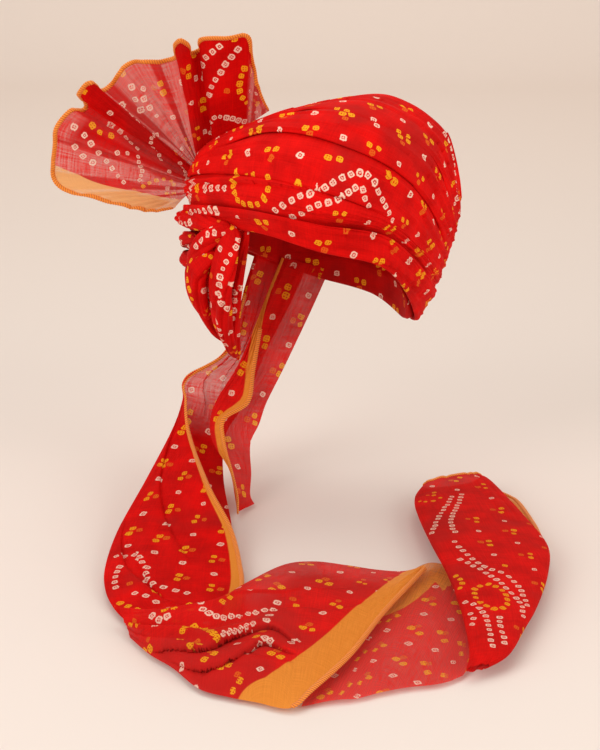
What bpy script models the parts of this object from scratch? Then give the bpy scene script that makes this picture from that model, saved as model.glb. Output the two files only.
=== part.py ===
"""Tied turban (pagri) of dyed cotton, with a pleated crest and a long tail.

The cloth goes round the head in five wraps that lie over each other like shingles.
A gathered hank hangs over the ear at -X, a fan of pleats stands up above it, and
the tail falls from the nape, lies round in front and ends folded back at +X.

Metres, +Z up, the face looks towards -Y. The origin is the crown of the head.
The tables give heights above the surface that the tail lies on, in millimetres.
"""
import bpy
import bmesh
import numpy as np

# Driving dimensions
MM = 0.001
SEAT_HEIGHT = 330          # crown of the head above the surface under the tail
HEAD_HALF_WIDTH = 78.5
HEAD_HALF_DEPTH = 98
HEAD_DOME = 80             # height of the rounded top of the head
HEAD_EASE = 1.0            # room between the head and the innermost turn
CLOTH_WALL = 2.4           # one wrap, several gathered layers of thin cotton
FAN_WALL = 1.2             # one starched layer with its hem
TAIL_WALL = 2.0            # the loose tail, a doubled layer
CORE_DEPTH = 10.0          # outside of the inner turns, under the outer surface
CORE_RIM_DEPTH = 8.0       # the same at the rim
MIDDLE_SHARE = 0.4         # how far the middle of the wraps leans to either side
MIDDLE_BACK = 10           # and where it lies behind the middle of the head
MIDDLE_HEIGHT = 270        # and its greatest height
CROWD = 0.00002            # points of the crown ridge nearer than this are one, in metres

# Fineness: faces round the head, and points along and across each sheet
WRAP_COLUMNS = 42
CORE_COLUMNS = 36
CORE_LEVELS = (0.1, 0.5, 1, 1.5, 2, 2.5, 3, 3.5, 4, 4.5, 5)
STRAND_SIDES = 10
STRAND_STEPS = 11
FAN_STEPS = 7
FALL_GRID = (19, 15)
INNER_GRID = (13, 13)
ROLL_GRID = (20, 14)
SHEER_GRID = (9, 7)
END_GRID = (13, 14)

# The outer surface as fold lines round the head, from the rim to the crown ridge.
# Columns: left, left front, front, right front, right, right back, back, left back
FOLD_LINES = (
    ((-117, 0, 270), (-60, -78, 284), (0, -110, 273), (59, -80, 250),
     (92, 8, 184), (58, 92, 190), (-4, 120, 200), (-66, 98, 226)),
    ((-121, 0, 293), (-65, -90, 306), (-2, -121, 299), (61, -90, 280),
     (107, 10, 212), (68, 102, 222), (-3, 134, 240), (-70, 108, 262)),
    ((-119, 2, 317), (-57, -97, 336), (3, -129, 327), (66, -94, 296),
     (114, 10, 231), (80, 102, 256), (6, 139, 284), (-63, 112, 300)),
    ((-108, 5, 338), (-49, -78, 369), (16, -106, 365), (80, -78, 326),
     (121, 10, 254), (97, 88, 298), (26, 114, 334), (-46, 96, 330)),
    ((-93, 8, 351), (-30, -45, 382), (35, -66, 388), (96, -50, 348),
     (127, 10, 277), (109, 56, 334), (44, 70, 371), (-26, 58, 364)),
    ((-70, 8, 355), (-14, 4, 378), (58, 4, 390), (112, 4, 357),
     (128, 10, 297), (112, 4, 357), (58, 4, 390), (-14, 4, 378)),
)

# One row a wrap, from its lower edge to its upper one: the fold line that a column of
# points follows, as a row number of the table above, and its depth under the surface
WRAPS = {
    "wrap_brow": ((0.00, 2.2), (0.12, 0.2), (0.50, 0.6), (0.88, 0.0), (1.00, 1.4)),
    "wrap_second": ((0.82, 5.4), (1.06, 4.8), (1.25, 1.6), (1.62, 1.2), (1.95, 4.6), (2.25, 5.4)),
    "wrap_third": ((2.00, 1.6), (2.10, 0.0), (2.50, 1.2), (2.94, 4.6), (3.25, 5.4)),
    "wrap_fourth": ((3.00, 1.6), (3.10, 0.0), (3.50, 1.0), (3.94, 4.6), (4.25, 5.4)),
    "wrap_crown": ((4.00, 1.6), (4.10, 0.0), (4.35, 0.9), (4.65, 0.2), (5.00, 0.0)),
}

# The hank over the ear: rows from the top down, along the middle of each strand.
# Columns: x, y, z, half width round the head, half thickness off the head
STRANDS = {
    "tie_roll": ((-97, -56, 262, 5, 3), (-111, -37, 259, 8, 6), (-118, -11, 253, 9, 6),
                 (-119, 15, 247, 9, 6), (-112, 39, 238, 8, 6), (-101, 56, 231, 5, 4)),
    "hank_face_strand": ((-72, -63, 271, 12, 6), (-80, -57, 254, 15, 8), (-86, -45, 230, 15, 9),
                         (-87, -29, 205, 14, 9), (-83, -8, 178, 10, 7), (-76, 11, 151, 3, 3)),
    "hank_lobe": ((-97, -24, 262, 11, 5), (-102, -22, 250, 13, 6), (-111, -17, 229, 16, 9),
                  (-108, -9, 208, 14, 9), (-98, 5, 182, 5, 5)),
    "hank_back_strand": ((-97, 13, 257, 11, 5), (-101, 15, 244, 13, 5), (-110, 18, 220, 15, 9),
                         (-106, 22, 200, 13, 9), (-92, 24, 170, 5, 5)),
    "hank_nape_strand": ((-90, 47, 238, 11, 5), (-94, 48, 226, 12, 6), (-99, 50, 208, 14, 8),
                         (-94, 48, 190, 12, 8), (-84, 42, 166, 4, 4)),
}

# The crest: one pleated cloth from its root behind the wraps to its hem.
# Columns: hem x, y, z, root x, y, z, from the lowest pleat round to the last one
FAN_PLEATS = (
    (-130, 2, 289, -128, 16, 290), (-147, -4, 288, -127, 16, 293),
    (-164, -8, 291, -126, 17, 296), (-185, -10, 297, -125, 17, 299),
    (-208, -12, 303, -124, 18, 302), (-227, -11, 308, -123, 18, 304),
    (-236, -11, 318, -122, 19, 306), (-236, -13, 332, -121, 20, 308),
    (-233, -17, 349, -121, 18, 311), (-231, -19, 364, -121, 16, 313),
    (-220, -9, 378, -120, 20, 315), (-209, 5, 378, -119, 25, 316),
    (-207, 0, 385, -119, 23, 319), (-211, -14, 393, -119, 18, 321),
    (-201, -20, 404, -118, 17, 324), (-196, -8, 401, -117, 21, 325),
    (-192, 4, 395, -116, 26, 326), (-184, 8, 400, -115, 24, 328),
    (-175, 4, 412, -115, 21, 330), (-167, 10, 418, -114, 25, 331),
    (-154, 5, 420, -113, 22, 333), (-139, 10, 420, -112, 26, 334),
    (-127, 5, 424, -111, 24, 336), (-126, -12, 435, -111, 18, 338),
    (-120, -23, 441, -108, 17, 341), (-113, -14, 436, -105, 19, 344),
    (-114, 4, 428, -102, 26, 344), (-105, 8, 430, -97, 28, 346),
    (-104, -8, 440, -95, 23, 350), (-83, -14, 442, -84, 24, 356),
    (-61, -11, 442, -66, 26, 365), (-58, 4, 416, -62, 32, 366),
    (-55, 12, 396, -56, 36, 368), (-45, 18, 374, -46, 38, 371),
)

# The falling tail, a cloth folded on its left side: rows from the nape down.
# Columns: fold x, y, z, hem of the upper layer x, y, z, edge of the under layer x, y, z
# and half the gap between the layers
TAIL_FALL = (
    ((-64, 86, 212), (-63, 87, 212), (-15, 109, 193), 1.6),
    ((-89, 98, 130), (-88, 99, 131), (-49, 110, 127), 2.0),
    ((-129, 90, 104), (-128, 91, 104), (-64, 107, 90), 2.5),
    ((-132, 82, 84), (-129, 81, 83), (-77, 96, 66), 3.0),
    ((-141, 64, 60), (-125, 59, 55), (-90, 80, 47), 3.8),
    ((-161, -6, 34), (-102, -37, 37), (-89, 20, 26), 4.2),
    ((-179, -85, 16), (-78, -94, 15), (-79, -61, 13), 4.2),
    ((-183, -160, 11), (-66, -168, 6), (-75, -140, 11), 4.0),
    ((-178, -205, 8), (-64, -218, 4), (-72, -208, 9), 3.2),
    ((-166, -240, 6), (-66, -254, 4), (-72, -250, 7.5), 2.2),
    ((-149, -270, 5), (-70, -290, 4), (-74, -288, 7), 2.0),
)
TAIL_INNER = (
    ((-44, 88, 203), (-43, 89, 202), (5, 101, 190), 1.6),
    ((-76, 84, 122), (-61, 82, 120), (-31, 94, 116), 2.0),
    ((-98, 70, 88), (-67, 68, 86), (-49, 80, 83), 2.2),
    ((-104, 54, 70), (-90, 52, 73), (-56, 68, 65), 2.6),
    ((-100, 38, 54), (-90, 37, 56), (-64, 53, 50), 2.6),
    ((-84, 14, 36), (-84, 8, 37), (-62, 34, 25), 2.6),
    ((-78, -4, 14), (-77, -11, 17), (-63, 23, 8), 2.0),
)

FOLD_SPREAD = 1.5          # crowds the points of a folded cloth towards its fold
FOLD_ROUND = 3             # how soon the fold opens to its full gap

# The gathered roll in front, up to its bordered hem: rows from its left tip round.
# Columns: back edge x, y, z, front edge x, y, z, rise of the crown between them
TAIL_ROLL = (
    ((-163, -254, 15), (-150, -286, 4), 3), ((-135, -272, 20), (-132, -316, 4), 9),
    ((-106, -270, 22), (-113, -339, 4), 13), ((-80, -253, 22), (-91, -373, 4), 14),
    ((-61, -213, 18), (-69, -386, 4), 14), ((-31, -164, 14), (-49, -394, 4), 13),
    ((-5, -154, 13), (-24, -405, 5), 11), ((22, -162, 13), (-7, -388, 11), 8),
    ((48, -172, 13), (22, -335, 13), 6), ((70, -175, 13), (51, -260, 14), 3),
    ((88, -162, 12), (90, -170, 13), 1),
)

# Its grooves run along it. Columns: place across at the left end, drift along the roll,
# depth, half width as a share of the roll, and where it ends along the roll
ROLL_GROOVES = ((0.52, -0.05, 7, 0.07, 0.62), (0.80, -0.30, 6, 0.06, 0.55))
GROOVE_FADE_IN = 0.08
GROOVE_FADE_OUT = 0.2
ARCH_SQUARENESS = 4        # how flat the crown of an arched cloth is

# The single layer between the roll and the folded end: back edge, front edge, rise
TAIL_SHEER = (
    ((48, -215, 5), (8, -386, 4), 1), ((84, -150, 6), (24, -388, 4), 1),
    ((106, -146, 7), (42, -379, 4), 1), ((124, -178, 7), (63, -371, 4), 1),
    ((132, -229, 6), (86, -365, 4), 0), ((130, -295, 5), (104, -352, 4), 0),
)

# The end of the tail, folded back over itself: rows from the turn to the open end.
# Columns: left edge x, y, z, right edge x, y, z, half the thickness
TAIL_END = (
    ((106, -357, 11), (124, -349, 11), 2.2), ((110, -338, 15), (141, -334, 14), 4.5),
    ((111, -301, 17), (158, -291, 15), 6.0), ((110, -255, 18), (173, -251, 16), 7.0),
    ((105, -195, 20), (190, -190, 17), 7.5), ((96, -125, 20), (198, -130, 17), 7.5),
    ((90, -60, 19), (186, -56, 17), 7.0), ((90, -16, 18), (168, 32, 16), 6.4),
    ((101, 22, 17), (158, 52, 16), 5.8),
)
END_SIDE_POWER = 0.8       # how square the tube of the folded end is
END_TOP_POWER = 0.7

# The layer that shows under the right side of the folded end: inner edge, hem
TAIL_UNDER = (
    ((146, 30, 4), (164, 53, 4)), ((158, 14, 4), (176, 41, 4)), ((166, -10, 4), (190, 20, 4)),
    ((174, -40, 4), (197, -24, 4)), ((180, -75, 4), (200, -62, 4)),
    ((182, -112, 4), (200, -104, 4)),
)

CLOTH_RED = (0.66, 0.012, 0.010, 1.0)
SHEER_RED = (0.78, 0.10, 0.09, 1.0)


def spline(points, places, closed=False):
    """Catmull-Rom curve through the rows of points, read at places in row units."""
    points = np.asarray(points, float)
    if closed:
        padded = np.concatenate([points[-1:], points, points[:2]])
        start = np.floor(places).astype(int) % len(points)
    else:
        before = 2 * points[:1] - points[1:2]
        after = 2 * points[-1:] - points[-2:-1]
        padded = np.concatenate([before, points, after])
        start = np.clip(np.floor(places).astype(int), 0, len(points) - 2)
    step = (np.asarray(places, float) - np.floor(places)) if closed else places - start
    step = step.reshape((-1,) + (1,) * (points.ndim - 1))
    a, b, c, d = (padded[start + k] for k in range(4))
    return b + 0.5 * step * (c - a + step * (2 * a - 5 * b + 4 * c - d
                                             + step * (3 * (b - c) + d - a)))


def towards_middle(points):
    """Unit vectors from the outer surface in towards the middle of the head."""
    middle = points.copy()
    middle[..., 0] *= MIDDLE_SHARE
    middle[..., 1] = MIDDLE_BACK
    middle[..., 2] = np.minimum(points[..., 2], MIDDLE_HEIGHT)
    inward = middle - points
    return inward / np.linalg.norm(inward, axis=-1, keepdims=True)


def turban_surface(turns, levels, depths):
    """Points at each level and turn, sunk by a depth for each level."""
    rings = np.array([spline(line, turns, closed=True) for line in FOLD_LINES])
    surface = spline(rings, levels)
    return surface + towards_middle(surface) * np.asarray(depths)[:, None, None]


def on_head(points):
    """Points of the outer surface moved in to the head, an ellipse under a dome."""
    scale = np.array([HEAD_HALF_WIDTH, HEAD_HALF_DEPTH, HEAD_DOME]) + HEAD_EASE
    centre = np.array([0, 0, SEAT_HEIGHT - HEAD_DOME])
    unit = (points - centre) / scale
    rise = unit[..., 2].copy()
    unit[..., 2] = np.maximum(rise, 0)
    unit /= np.linalg.norm(unit, axis=-1, keepdims=True)
    unit[..., 2] += np.minimum(rise, 0)
    return unit * scale + centre


def cloth_material(name, colour):
    material = bpy.data.materials.new(name + "_cloth")
    material.use_nodes = True
    shader = material.node_tree.nodes["Principled BSDF"]
    shader.inputs["Base Color"].default_value = colour
    shader.inputs["Roughness"].default_value = 0.85
    shader.inputs["Metallic"].default_value = 0.0
    return material


def grid_faces(rows, columns, closed=False):
    """Quads of a grid of points, joined round its columns if closed."""
    span = columns if closed else columns - 1
    faces = []
    for row in range(rows - 1):
        for column in range(span):
            here = row * columns + column
            beside = row * columns + (column + 1) % columns
            faces.append((here, beside, beside + columns, here + columns))
    return faces


def add_piece(name, points, faces, colour=CLOTH_RED, wall=0.0, merge=False):
    """An object from points in table millimetres, with a wall if it is a sheet."""
    vertices = points.reshape(-1, 3) - np.array([0, 0, SEAT_HEIGHT])
    mesh = bpy.data.meshes.new(name)
    mesh.from_pydata((vertices * MM).tolist(), [], faces)
    if merge:
        shape = bmesh.new()
        shape.from_mesh(mesh)
        bmesh.ops.remove_doubles(shape, verts=shape.verts, dist=CROWD)
        shape.to_mesh(mesh)
        shape.free()
    mesh.shade_smooth()
    mesh.materials.append(cloth_material(name, colour))
    piece = bpy.data.objects.new(name, mesh)
    collection.objects.link(piece)
    if wall:
        solidify = piece.modifiers.new("wall", "SOLIDIFY")
        solidify.thickness = wall * MM
        solidify.offset = -1.0
    return piece


def turns_round(columns):
    """Places evenly round the head, in columns of the table of fold lines."""
    return np.arange(columns) * len(FOLD_LINES[0]) / columns


def make_core():
    """The inner turns: a thick shell between the wraps and the head, open below."""
    turns = turns_round(CORE_COLUMNS)
    depths = [CORE_RIM_DEPTH] + [CORE_DEPTH] * (len(CORE_LEVELS) - 1)
    outer = turban_surface(turns, CORE_LEVELS, depths)
    inner = on_head(outer)
    count = len(CORE_LEVELS) * CORE_COLUMNS
    faces = grid_faces(len(CORE_LEVELS), CORE_COLUMNS, closed=True)
    lining = [tuple(index + count for index in face[::-1]) for face in faces]
    under = []
    for column in range(CORE_COLUMNS):
        beside = (column + 1) % CORE_COLUMNS
        under.append((beside, column, column + count, beside + count))
    points = np.concatenate([outer.reshape(-1, 3), inner.reshape(-1, 3)])
    add_piece("wound_core", points, faces + lining + under, merge=True)


def make_wraps():
    """Each wrap is a closed ring; the last one closes along the crown ridge."""
    turns = turns_round(WRAP_COLUMNS)
    for name, columns in WRAPS.items():
        levels, depths = np.array(columns).T
        surface = turban_surface(turns, levels, depths)
        faces = grid_faces(len(levels), WRAP_COLUMNS, closed=True)
        add_piece(name, surface, faces, wall=CLOTH_WALL, merge=True)


def make_strand(name, rows):
    """A closed gathered strand: ellipses along a smooth line, wide round the head."""
    data = spline(rows, np.linspace(0, len(rows) - 1, STRAND_STEPS))
    line = data[:, :3]
    along = np.gradient(line, axis=0)
    along /= np.linalg.norm(along, axis=1, keepdims=True)
    off_head = line * (1, 1, 0)
    off_head -= along * np.sum(off_head * along, axis=1, keepdims=True)
    off_head /= np.linalg.norm(off_head, axis=1, keepdims=True)
    round_head = np.cross(along, off_head)
    angle = np.arange(STRAND_SIDES) * 2 * np.pi / STRAND_SIDES
    ring = (np.cos(angle)[None, :, None] * round_head[:, None] * data[:, None, 3:4]
            + np.sin(angle)[None, :, None] * off_head[:, None] * data[:, None, 4:5])
    points = (line[:, None] + ring).reshape(-1, 3)
    faces = [face[::-1] for face in grid_faces(STRAND_STEPS, STRAND_SIDES, closed=True)]
    last = (STRAND_STEPS - 1) * STRAND_SIDES
    faces += [tuple(range(STRAND_SIDES)), tuple(range(last, last + STRAND_SIDES))[::-1]]
    add_piece(name, points, faces)


def make_fan():
    """The crest: straight pleats that spread from the root to the hem."""
    pleats = np.array(FAN_PLEATS, float)
    hem, root = pleats[:, :3], pleats[:, 3:]
    reach = np.linspace(0, 1, FAN_STEPS)[:, None, None]
    points = root + (hem - root) * reach
    faces = [face[::-1] for face in grid_faces(FAN_STEPS, len(pleats))]
    add_piece("turra_fan", points, faces, wall=FAN_WALL)


def folded_sheet(rows, grid):
    """A cloth folded on one side: from its hem over the top, round and back under."""
    steps, columns = grid
    table = [np.concatenate([fold, hem, back, [gap]]) for fold, hem, back, gap in rows]
    data = spline(table, np.linspace(0, len(rows) - 1, steps))
    fold, hem, back, gap = data[:, :3], data[:, 3:6], data[:, 6:9], data[:, 9]
    along = np.gradient(fold + back, axis=0)
    upward = np.cross(along, back - fold)
    upward /= np.linalg.norm(upward, axis=1, keepdims=True)
    side = np.linspace(-1, 1, columns)
    reach = np.abs(side) ** FOLD_SPREAD
    lift = -np.sign(side) * (1 - (1 - np.abs(side)) ** FOLD_ROUND)
    far = np.where((side < 0)[None, :, None], hem[:, None], back[:, None])
    return (fold[:, None] + (far - fold[:, None]) * reach[None, :, None]
            + upward[:, None] * (gap[:, None] * lift)[..., None])


def arched_sheet(rows, grid, grooves=()):
    """A cloth that rises between two edges, with grooves that run along it."""
    steps, columns = grid
    table = [np.concatenate([back, front, [rise]]) for back, front, rise in rows]
    data = spline(table, np.linspace(0, len(rows) - 1, steps))
    back, front, rise = data[:, :3], data[:, 3:6], data[:, 6]
    across = np.linspace(0, 1, columns)
    points = back[:, None] + (front - back)[:, None] * across[None, :, None]
    crown = 1 - (2 * across - 1) ** ARCH_SQUARENESS
    lift = rise[:, None] * crown
    run = np.linspace(0, 1, steps)[:, None]
    for place, drift, depth, width, end in grooves:
        middle = place + drift * run
        fade = np.clip((end - run) / GROOVE_FADE_OUT, 0, 1) * np.clip(run / GROOVE_FADE_IN, 0, 1)
        lift = lift - depth * fade * np.exp(-((across - middle) / width) ** 2)
    points[..., 2] += lift
    return points


def add_sheet(name, points, colour=CLOTH_RED, wall=TAIL_WALL, flip=False):
    faces = grid_faces(points.shape[0], points.shape[1])
    if flip:
        faces = [face[::-1] for face in faces]
    add_piece(name, points, faces, colour, wall)


def make_tail_end():
    """The folded end: a flat tube, open where the cloth ends and narrow at the turn."""
    steps, columns = END_GRID
    table = [np.concatenate([left, right, [half]]) for left, right, half in TAIL_END]
    data = spline(table, np.linspace(0, len(TAIL_END) - 1, steps))
    left, right, half = data[:, :3], data[:, 3:6], data[:, 6]
    angle = np.arange(columns) * 2 * np.pi / columns
    reach = 0.5 - 0.5 * np.sign(np.cos(angle)) * np.abs(np.cos(angle)) ** END_SIDE_POWER
    lift = np.sign(np.sin(angle)) * np.abs(np.sin(angle)) ** END_TOP_POWER
    points = left[:, None] + (right - left)[:, None] * reach[None, :, None]
    points[..., 2] += half[:, None] * lift
    faces = [face[::-1] for face in grid_faces(steps, columns, closed=True)]
    add_piece("tail_folded_end", points, faces, wall=TAIL_WALL)


def make_tail():
    """The falling part, the roll in front, the single layers and the folded end."""
    add_sheet("tail_fall", folded_sheet(TAIL_FALL, FALL_GRID), flip=True)
    add_sheet("tail_inner_fall", folded_sheet(TAIL_INNER, INNER_GRID), flip=True)
    add_sheet("tail_front_roll", arched_sheet(TAIL_ROLL, ROLL_GRID, ROLL_GROOVES))
    add_sheet("tail_sheer_layer", arched_sheet(TAIL_SHEER, SHEER_GRID), colour=SHEER_RED)
    make_tail_end()
    under = np.array(TAIL_UNDER, float)
    add_sheet("tail_under_layer", under, colour=SHEER_RED)


for old in list(bpy.data.objects):
    bpy.data.objects.remove(old)
collection = bpy.data.collections.new("tied_turban_pagri")
bpy.context.scene.collection.children.link(collection)

make_core()
make_wraps()
for strand_name, strand_rows in STRANDS.items():
    make_strand(strand_name, strand_rows)
make_fan()
make_tail()
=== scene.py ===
# %% [markdown]
# # A tied turban of tie-dyed cotton
#
# This lesson dresses a turban (pagri) that is tied from one long, thin red cotton cloth.
# The solids of the object are loaded first and fix every size. Each cell then makes one
# piece of cloth over its solid: the wraps, the gathered hank over the ear, the pleated
# crest and the long tail. Lengths are in millimetres above the surface that the tail lies
# on, and they become metres only when a mesh is made.

import bpy
import numpy as np
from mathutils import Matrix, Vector


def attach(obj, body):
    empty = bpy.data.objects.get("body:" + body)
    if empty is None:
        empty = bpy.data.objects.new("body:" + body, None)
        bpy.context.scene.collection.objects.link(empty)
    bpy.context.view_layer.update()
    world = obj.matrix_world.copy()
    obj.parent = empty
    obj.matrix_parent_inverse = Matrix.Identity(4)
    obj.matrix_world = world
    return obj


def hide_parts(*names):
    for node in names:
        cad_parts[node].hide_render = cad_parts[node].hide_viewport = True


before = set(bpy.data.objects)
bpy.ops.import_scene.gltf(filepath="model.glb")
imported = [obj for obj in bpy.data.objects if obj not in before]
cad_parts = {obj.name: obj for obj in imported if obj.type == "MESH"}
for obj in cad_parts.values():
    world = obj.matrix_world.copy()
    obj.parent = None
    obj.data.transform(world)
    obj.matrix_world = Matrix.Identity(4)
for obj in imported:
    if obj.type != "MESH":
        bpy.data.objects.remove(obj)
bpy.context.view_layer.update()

# %% [markdown]
# ## The camera
# The photograph was taken from a little above the rim, with a long lens. The camera here has
# its distance, tilt and lens, so a render can be laid over the photograph line by line.

# %% Camera
MM = 0.001
SEAT_HEIGHT = 330
CAMERA_PLACE = (-17, -1493.7, 573.4)
CAMERA_TILT = 73.6
CAMERA_LENS = 81.0

camera = bpy.data.objects.new("camera", bpy.data.cameras.new("camera"))
bpy.context.scene.collection.objects.link(camera)
camera.location = (np.array(CAMERA_PLACE) - (0, 0, SEAT_HEIGHT)) * MM
camera.rotation_euler = (np.radians(CAMERA_TILT), 0, 0)
camera.data.lens = CAMERA_LENS
bpy.context.scene.camera = camera
bpy.context.scene.view_settings.view_transform = "Standard"
print("camera at", tuple(round(x, 3) for x in camera.location))

# %% [markdown]
# ## Curves through a few rows
# Cloth bends smoothly, so every shape below is a short table of sections with a smooth curve
# through its rows. A Catmull-Rom spline passes through each row, which makes a table easy to
# read: a row is a place that the cloth really goes through.


# %% Spline
def spline(points, places, closed=False):
    """Catmull-Rom curve through the rows of points, read at places in row units: between
    rows b and c it is the cubic through b and c whose slopes are (c - a)/2 and (d - b)/2."""
    points = np.asarray(points, float)
    places = np.asarray(places, float)
    if closed:
        padded = np.concatenate([points[-1:], points, points[:2]])
        start = np.floor(places).astype(int) % len(points)
        step = places - np.floor(places)
    else:
        before = 2 * points[:1] - points[1:2]
        after = 2 * points[-1:] - points[-2:-1]
        padded = np.concatenate([before, points, after])
        start = np.clip(np.floor(places).astype(int), 0, len(points) - 2)
        step = places - start
    step = step.reshape((-1,) + (1,) * (points.ndim - 1))
    a, b, c, d = (padded[start + k] for k in range(4))
    return b + 0.5 * step * (c - a + step * (2 * a - 5 * b + 4 * c - d
                                             + step * (3 * (b - c) + d - a)))


def rows_of(table, steps):
    """The table's rows as flat number rows, read at that many even places."""
    flat = [np.concatenate([np.atleast_1d(cell) for cell in row]) for row in table]
    return spline(flat, np.linspace(0, len(flat) - 1, steps))


# %% [markdown]
# ## Small irregular folds
# Hand-tied cloth is never regular. A lattice of seeded random numbers, eased between its
# places, gives a smooth wander, and its sharpened form gives creases: broad soft ridges with
# narrow valleys between them. Value noise was chosen because it is a few lines of numpy and
# can be made to close on itself round the head.


# %% Noise
def wander(u, v, seed, period=64):
    """Value noise from -1 to 1: random numbers at whole places, eased by t*t*(3 - 2*t)
    between them, the same again after each period in u."""
    cells = np.random.default_rng(seed).uniform(-1, 1, (64, 64))
    u, v = np.broadcast_arrays(u, v)
    column, row = np.floor(u).astype(int), np.floor(v).astype(int)
    right, up = u - column, v - row
    right, up = right * right * (3 - 2 * right), up * up * (3 - 2 * up)
    here = [cells[(row + j) % 64, (column + i) % period] for j in (0, 1) for i in (0, 1)]
    low = here[0] + (here[1] - here[0]) * right
    high = here[2] + (here[3] - here[2]) * right
    return low + (high - low) * up


def creases(u, v, seed, period=64):
    """Ridges from -1 to 1: one minus twice the size of the noise, so its zeros are crests."""
    return 2 * np.abs(wander(u, v, seed, period)) ** 0.7 - 1


# %% [markdown]
# ## The dye chart
# Each dot of a bandhani cloth is a pinch of cloth that was tied before dyeing, so it keeps a
# pale square ring with a red heart. Two motifs alternate all over the ground: a cluster of
# three yellow dots and a single white one. Chains of white dots and rings of yellow ones run
# across them, each drawn through a few places in round numbers. The chart is a list of dots in
# millimetres on the flat cloth. Every face of a mesh then carries its place inside the
# nearest dot, in a UV map of its own, and the shader only has to draw one dot. This keeps
# the dots crisp and round however the cloth is folded.

# %% Dots
PITCH = 27.5
DOT = 3.1
CHAIN_PITCH = 8.4
WHITE, YELLOW, DULL = 0, 1, 2
# How far a dot may stray: mm both ways, and its turn in radians
DOT_SHAKE = (0.35, 0.35, 0.12)
CLUSTER = ((-4.2, 2.2, YELLOW), (4.2, 3.6, YELLOW), (0.8, -4.6, DULL))


def ground_dots(low, high, place=(0, 0), slope=0.0, lean=0.0):
    """A checkerboard of clusters and single dots, one pitch apart both ways, with a cluster
    at the place. Its rows lean by the slope and its columns by the lean."""
    low, high, place = np.array(low), np.array(high), np.array(place)
    reach = int(np.abs(high - low).sum() / PITCH) + 4
    row, column = np.meshgrid(np.arange(-reach, reach), np.arange(-reach, reach))
    right, up = column * PITCH, row * PITCH
    middle = np.stack([place[0] + right + up * lean, place[1] + up + right * slope], axis=2)
    kept = ((middle > low) & (middle < high)).all(axis=2)
    odd = (row + column) % 2 == 1
    clusters, singles = middle[kept & ~odd], middle[kept & odd]
    parts = [np.column_stack([singles, np.zeros((len(singles), 1)),
                              np.full(len(singles), WHITE)])]
    for right, up, dye in CLUSTER:
        parts.append(np.column_stack([clusters + (right, up), np.zeros((len(clusters), 1)),
                                      np.full(len(clusters), dye)]))
    return np.concatenate(parts)


def chain_dots(line, dye=WHITE, closed=False, pitch=CHAIN_PITCH):
    """Dots one pitch apart along a smooth line through a few points, turned to follow it."""
    count = len(line) if closed else len(line) - 1
    fine = spline(line, np.linspace(0, count, 400), closed)
    run = np.append(0, np.cumsum(np.linalg.norm(np.diff(fine, axis=0), axis=1)))
    number = max(2, round(run[-1] / pitch))
    places = (np.arange(number) + 0.5) * run[-1] / number
    middle = np.stack([np.interp(places, run, fine[:, k]) for k in (0, 1)], 1)
    ahead = np.stack([np.interp(places + 1, run, fine[:, k]) for k in (0, 1)], 1)
    turn = np.arctan2(*(ahead - middle).T[::-1])
    return np.column_stack([middle, turn, np.full(number, dye)])


def dye_chart(ground, chains, half=DOT):
    """The ground's dots without those that crowd a chain, and the chains. half is half the
    width of a dot in mm."""
    lines = [chain_dots(*chain) for chain in chains]
    if lines:
        drawn = np.concatenate(lines)
        gaps = np.linalg.norm(ground[:, None, :2] - drawn[None, :, :2], axis=2).min(axis=1)
        ground = ground[gaps > 1.35 * CHAIN_PITCH]
        ground = np.concatenate([ground, drawn])
    shake = np.random.default_rng(len(ground)).normal(0, 1, (len(ground), 4))
    ground[:, :3] += shake[:, :3] * DOT_SHAKE
    size = half * (1 + 0.07 * shake[:, 3])
    return np.column_stack([ground, size])


print("dots on a square of 100 mm:", len(ground_dots((0, 0), (100, 100))))


# %% [markdown]
# ## From a grid of points to a piece of cloth
# Every piece is a surface with two parameters, worked out as one array of points. The array
# goes into the mesh in a few calls, with the flat cloth's own millimetres as a UV map, so
# that weave and dots follow the cloth and not the room.


# %% Mesh
DOT_REACH = 7


def flat_places(points, start=0):
    """Where each point lies on the flat cloth: the mean length along the rows, and each
    row's own length across, counted from the start column."""
    along = np.linalg.norm(np.diff(points, axis=0), axis=2).mean(axis=1)
    along = np.append(0, np.cumsum(along))
    across = np.cumsum(np.linalg.norm(np.diff(points, axis=1), axis=2), axis=1)
    across = np.concatenate([np.zeros((len(points), 1)), across], axis=1)
    across -= across[:, start:start + 1]
    return np.stack([np.broadcast_to(along[:, None], across.shape), across], axis=2)


def normals_of(points):
    """Unit normals of a grid: the cross product of its two directions."""
    normal = np.cross(np.gradient(points, axis=1), np.gradient(points, axis=0))
    return normal / np.maximum(np.linalg.norm(normal, axis=2, keepdims=True), 1e-9)


def grid_mesh(name, points, closed=False):
    """Quads over a grid of points. If closed, its last column lies on its first one."""
    rows, columns = points.shape[:2]
    kept = columns - 1 if closed else columns
    places = (points[:, :kept].reshape(-1, 3) - (0, 0, SEAT_HEIGHT)) * MM
    row, column = np.meshgrid(np.arange(rows - 1), np.arange(columns - 1), indexing="ij")
    corner_row = np.stack([row, row, row + 1, row + 1], -1).ravel()
    corner_column = np.stack([column, column + 1, column + 1, column], -1).ravel()
    mesh = bpy.data.meshes.new(name)
    mesh.vertices.add(len(places))
    mesh.vertices.foreach_set("co", places.ravel())
    mesh.loops.add(len(corner_row))
    mesh.loops.foreach_set("vertex_index", corner_row * kept + corner_column % kept)
    mesh.polygons.add(row.size)
    mesh.polygons.foreach_set("loop_start", np.arange(row.size) * 4)
    mesh.update(calc_edges=True)
    mesh.validate()
    mesh.shade_smooth()
    return mesh, corner_row, corner_column


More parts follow.
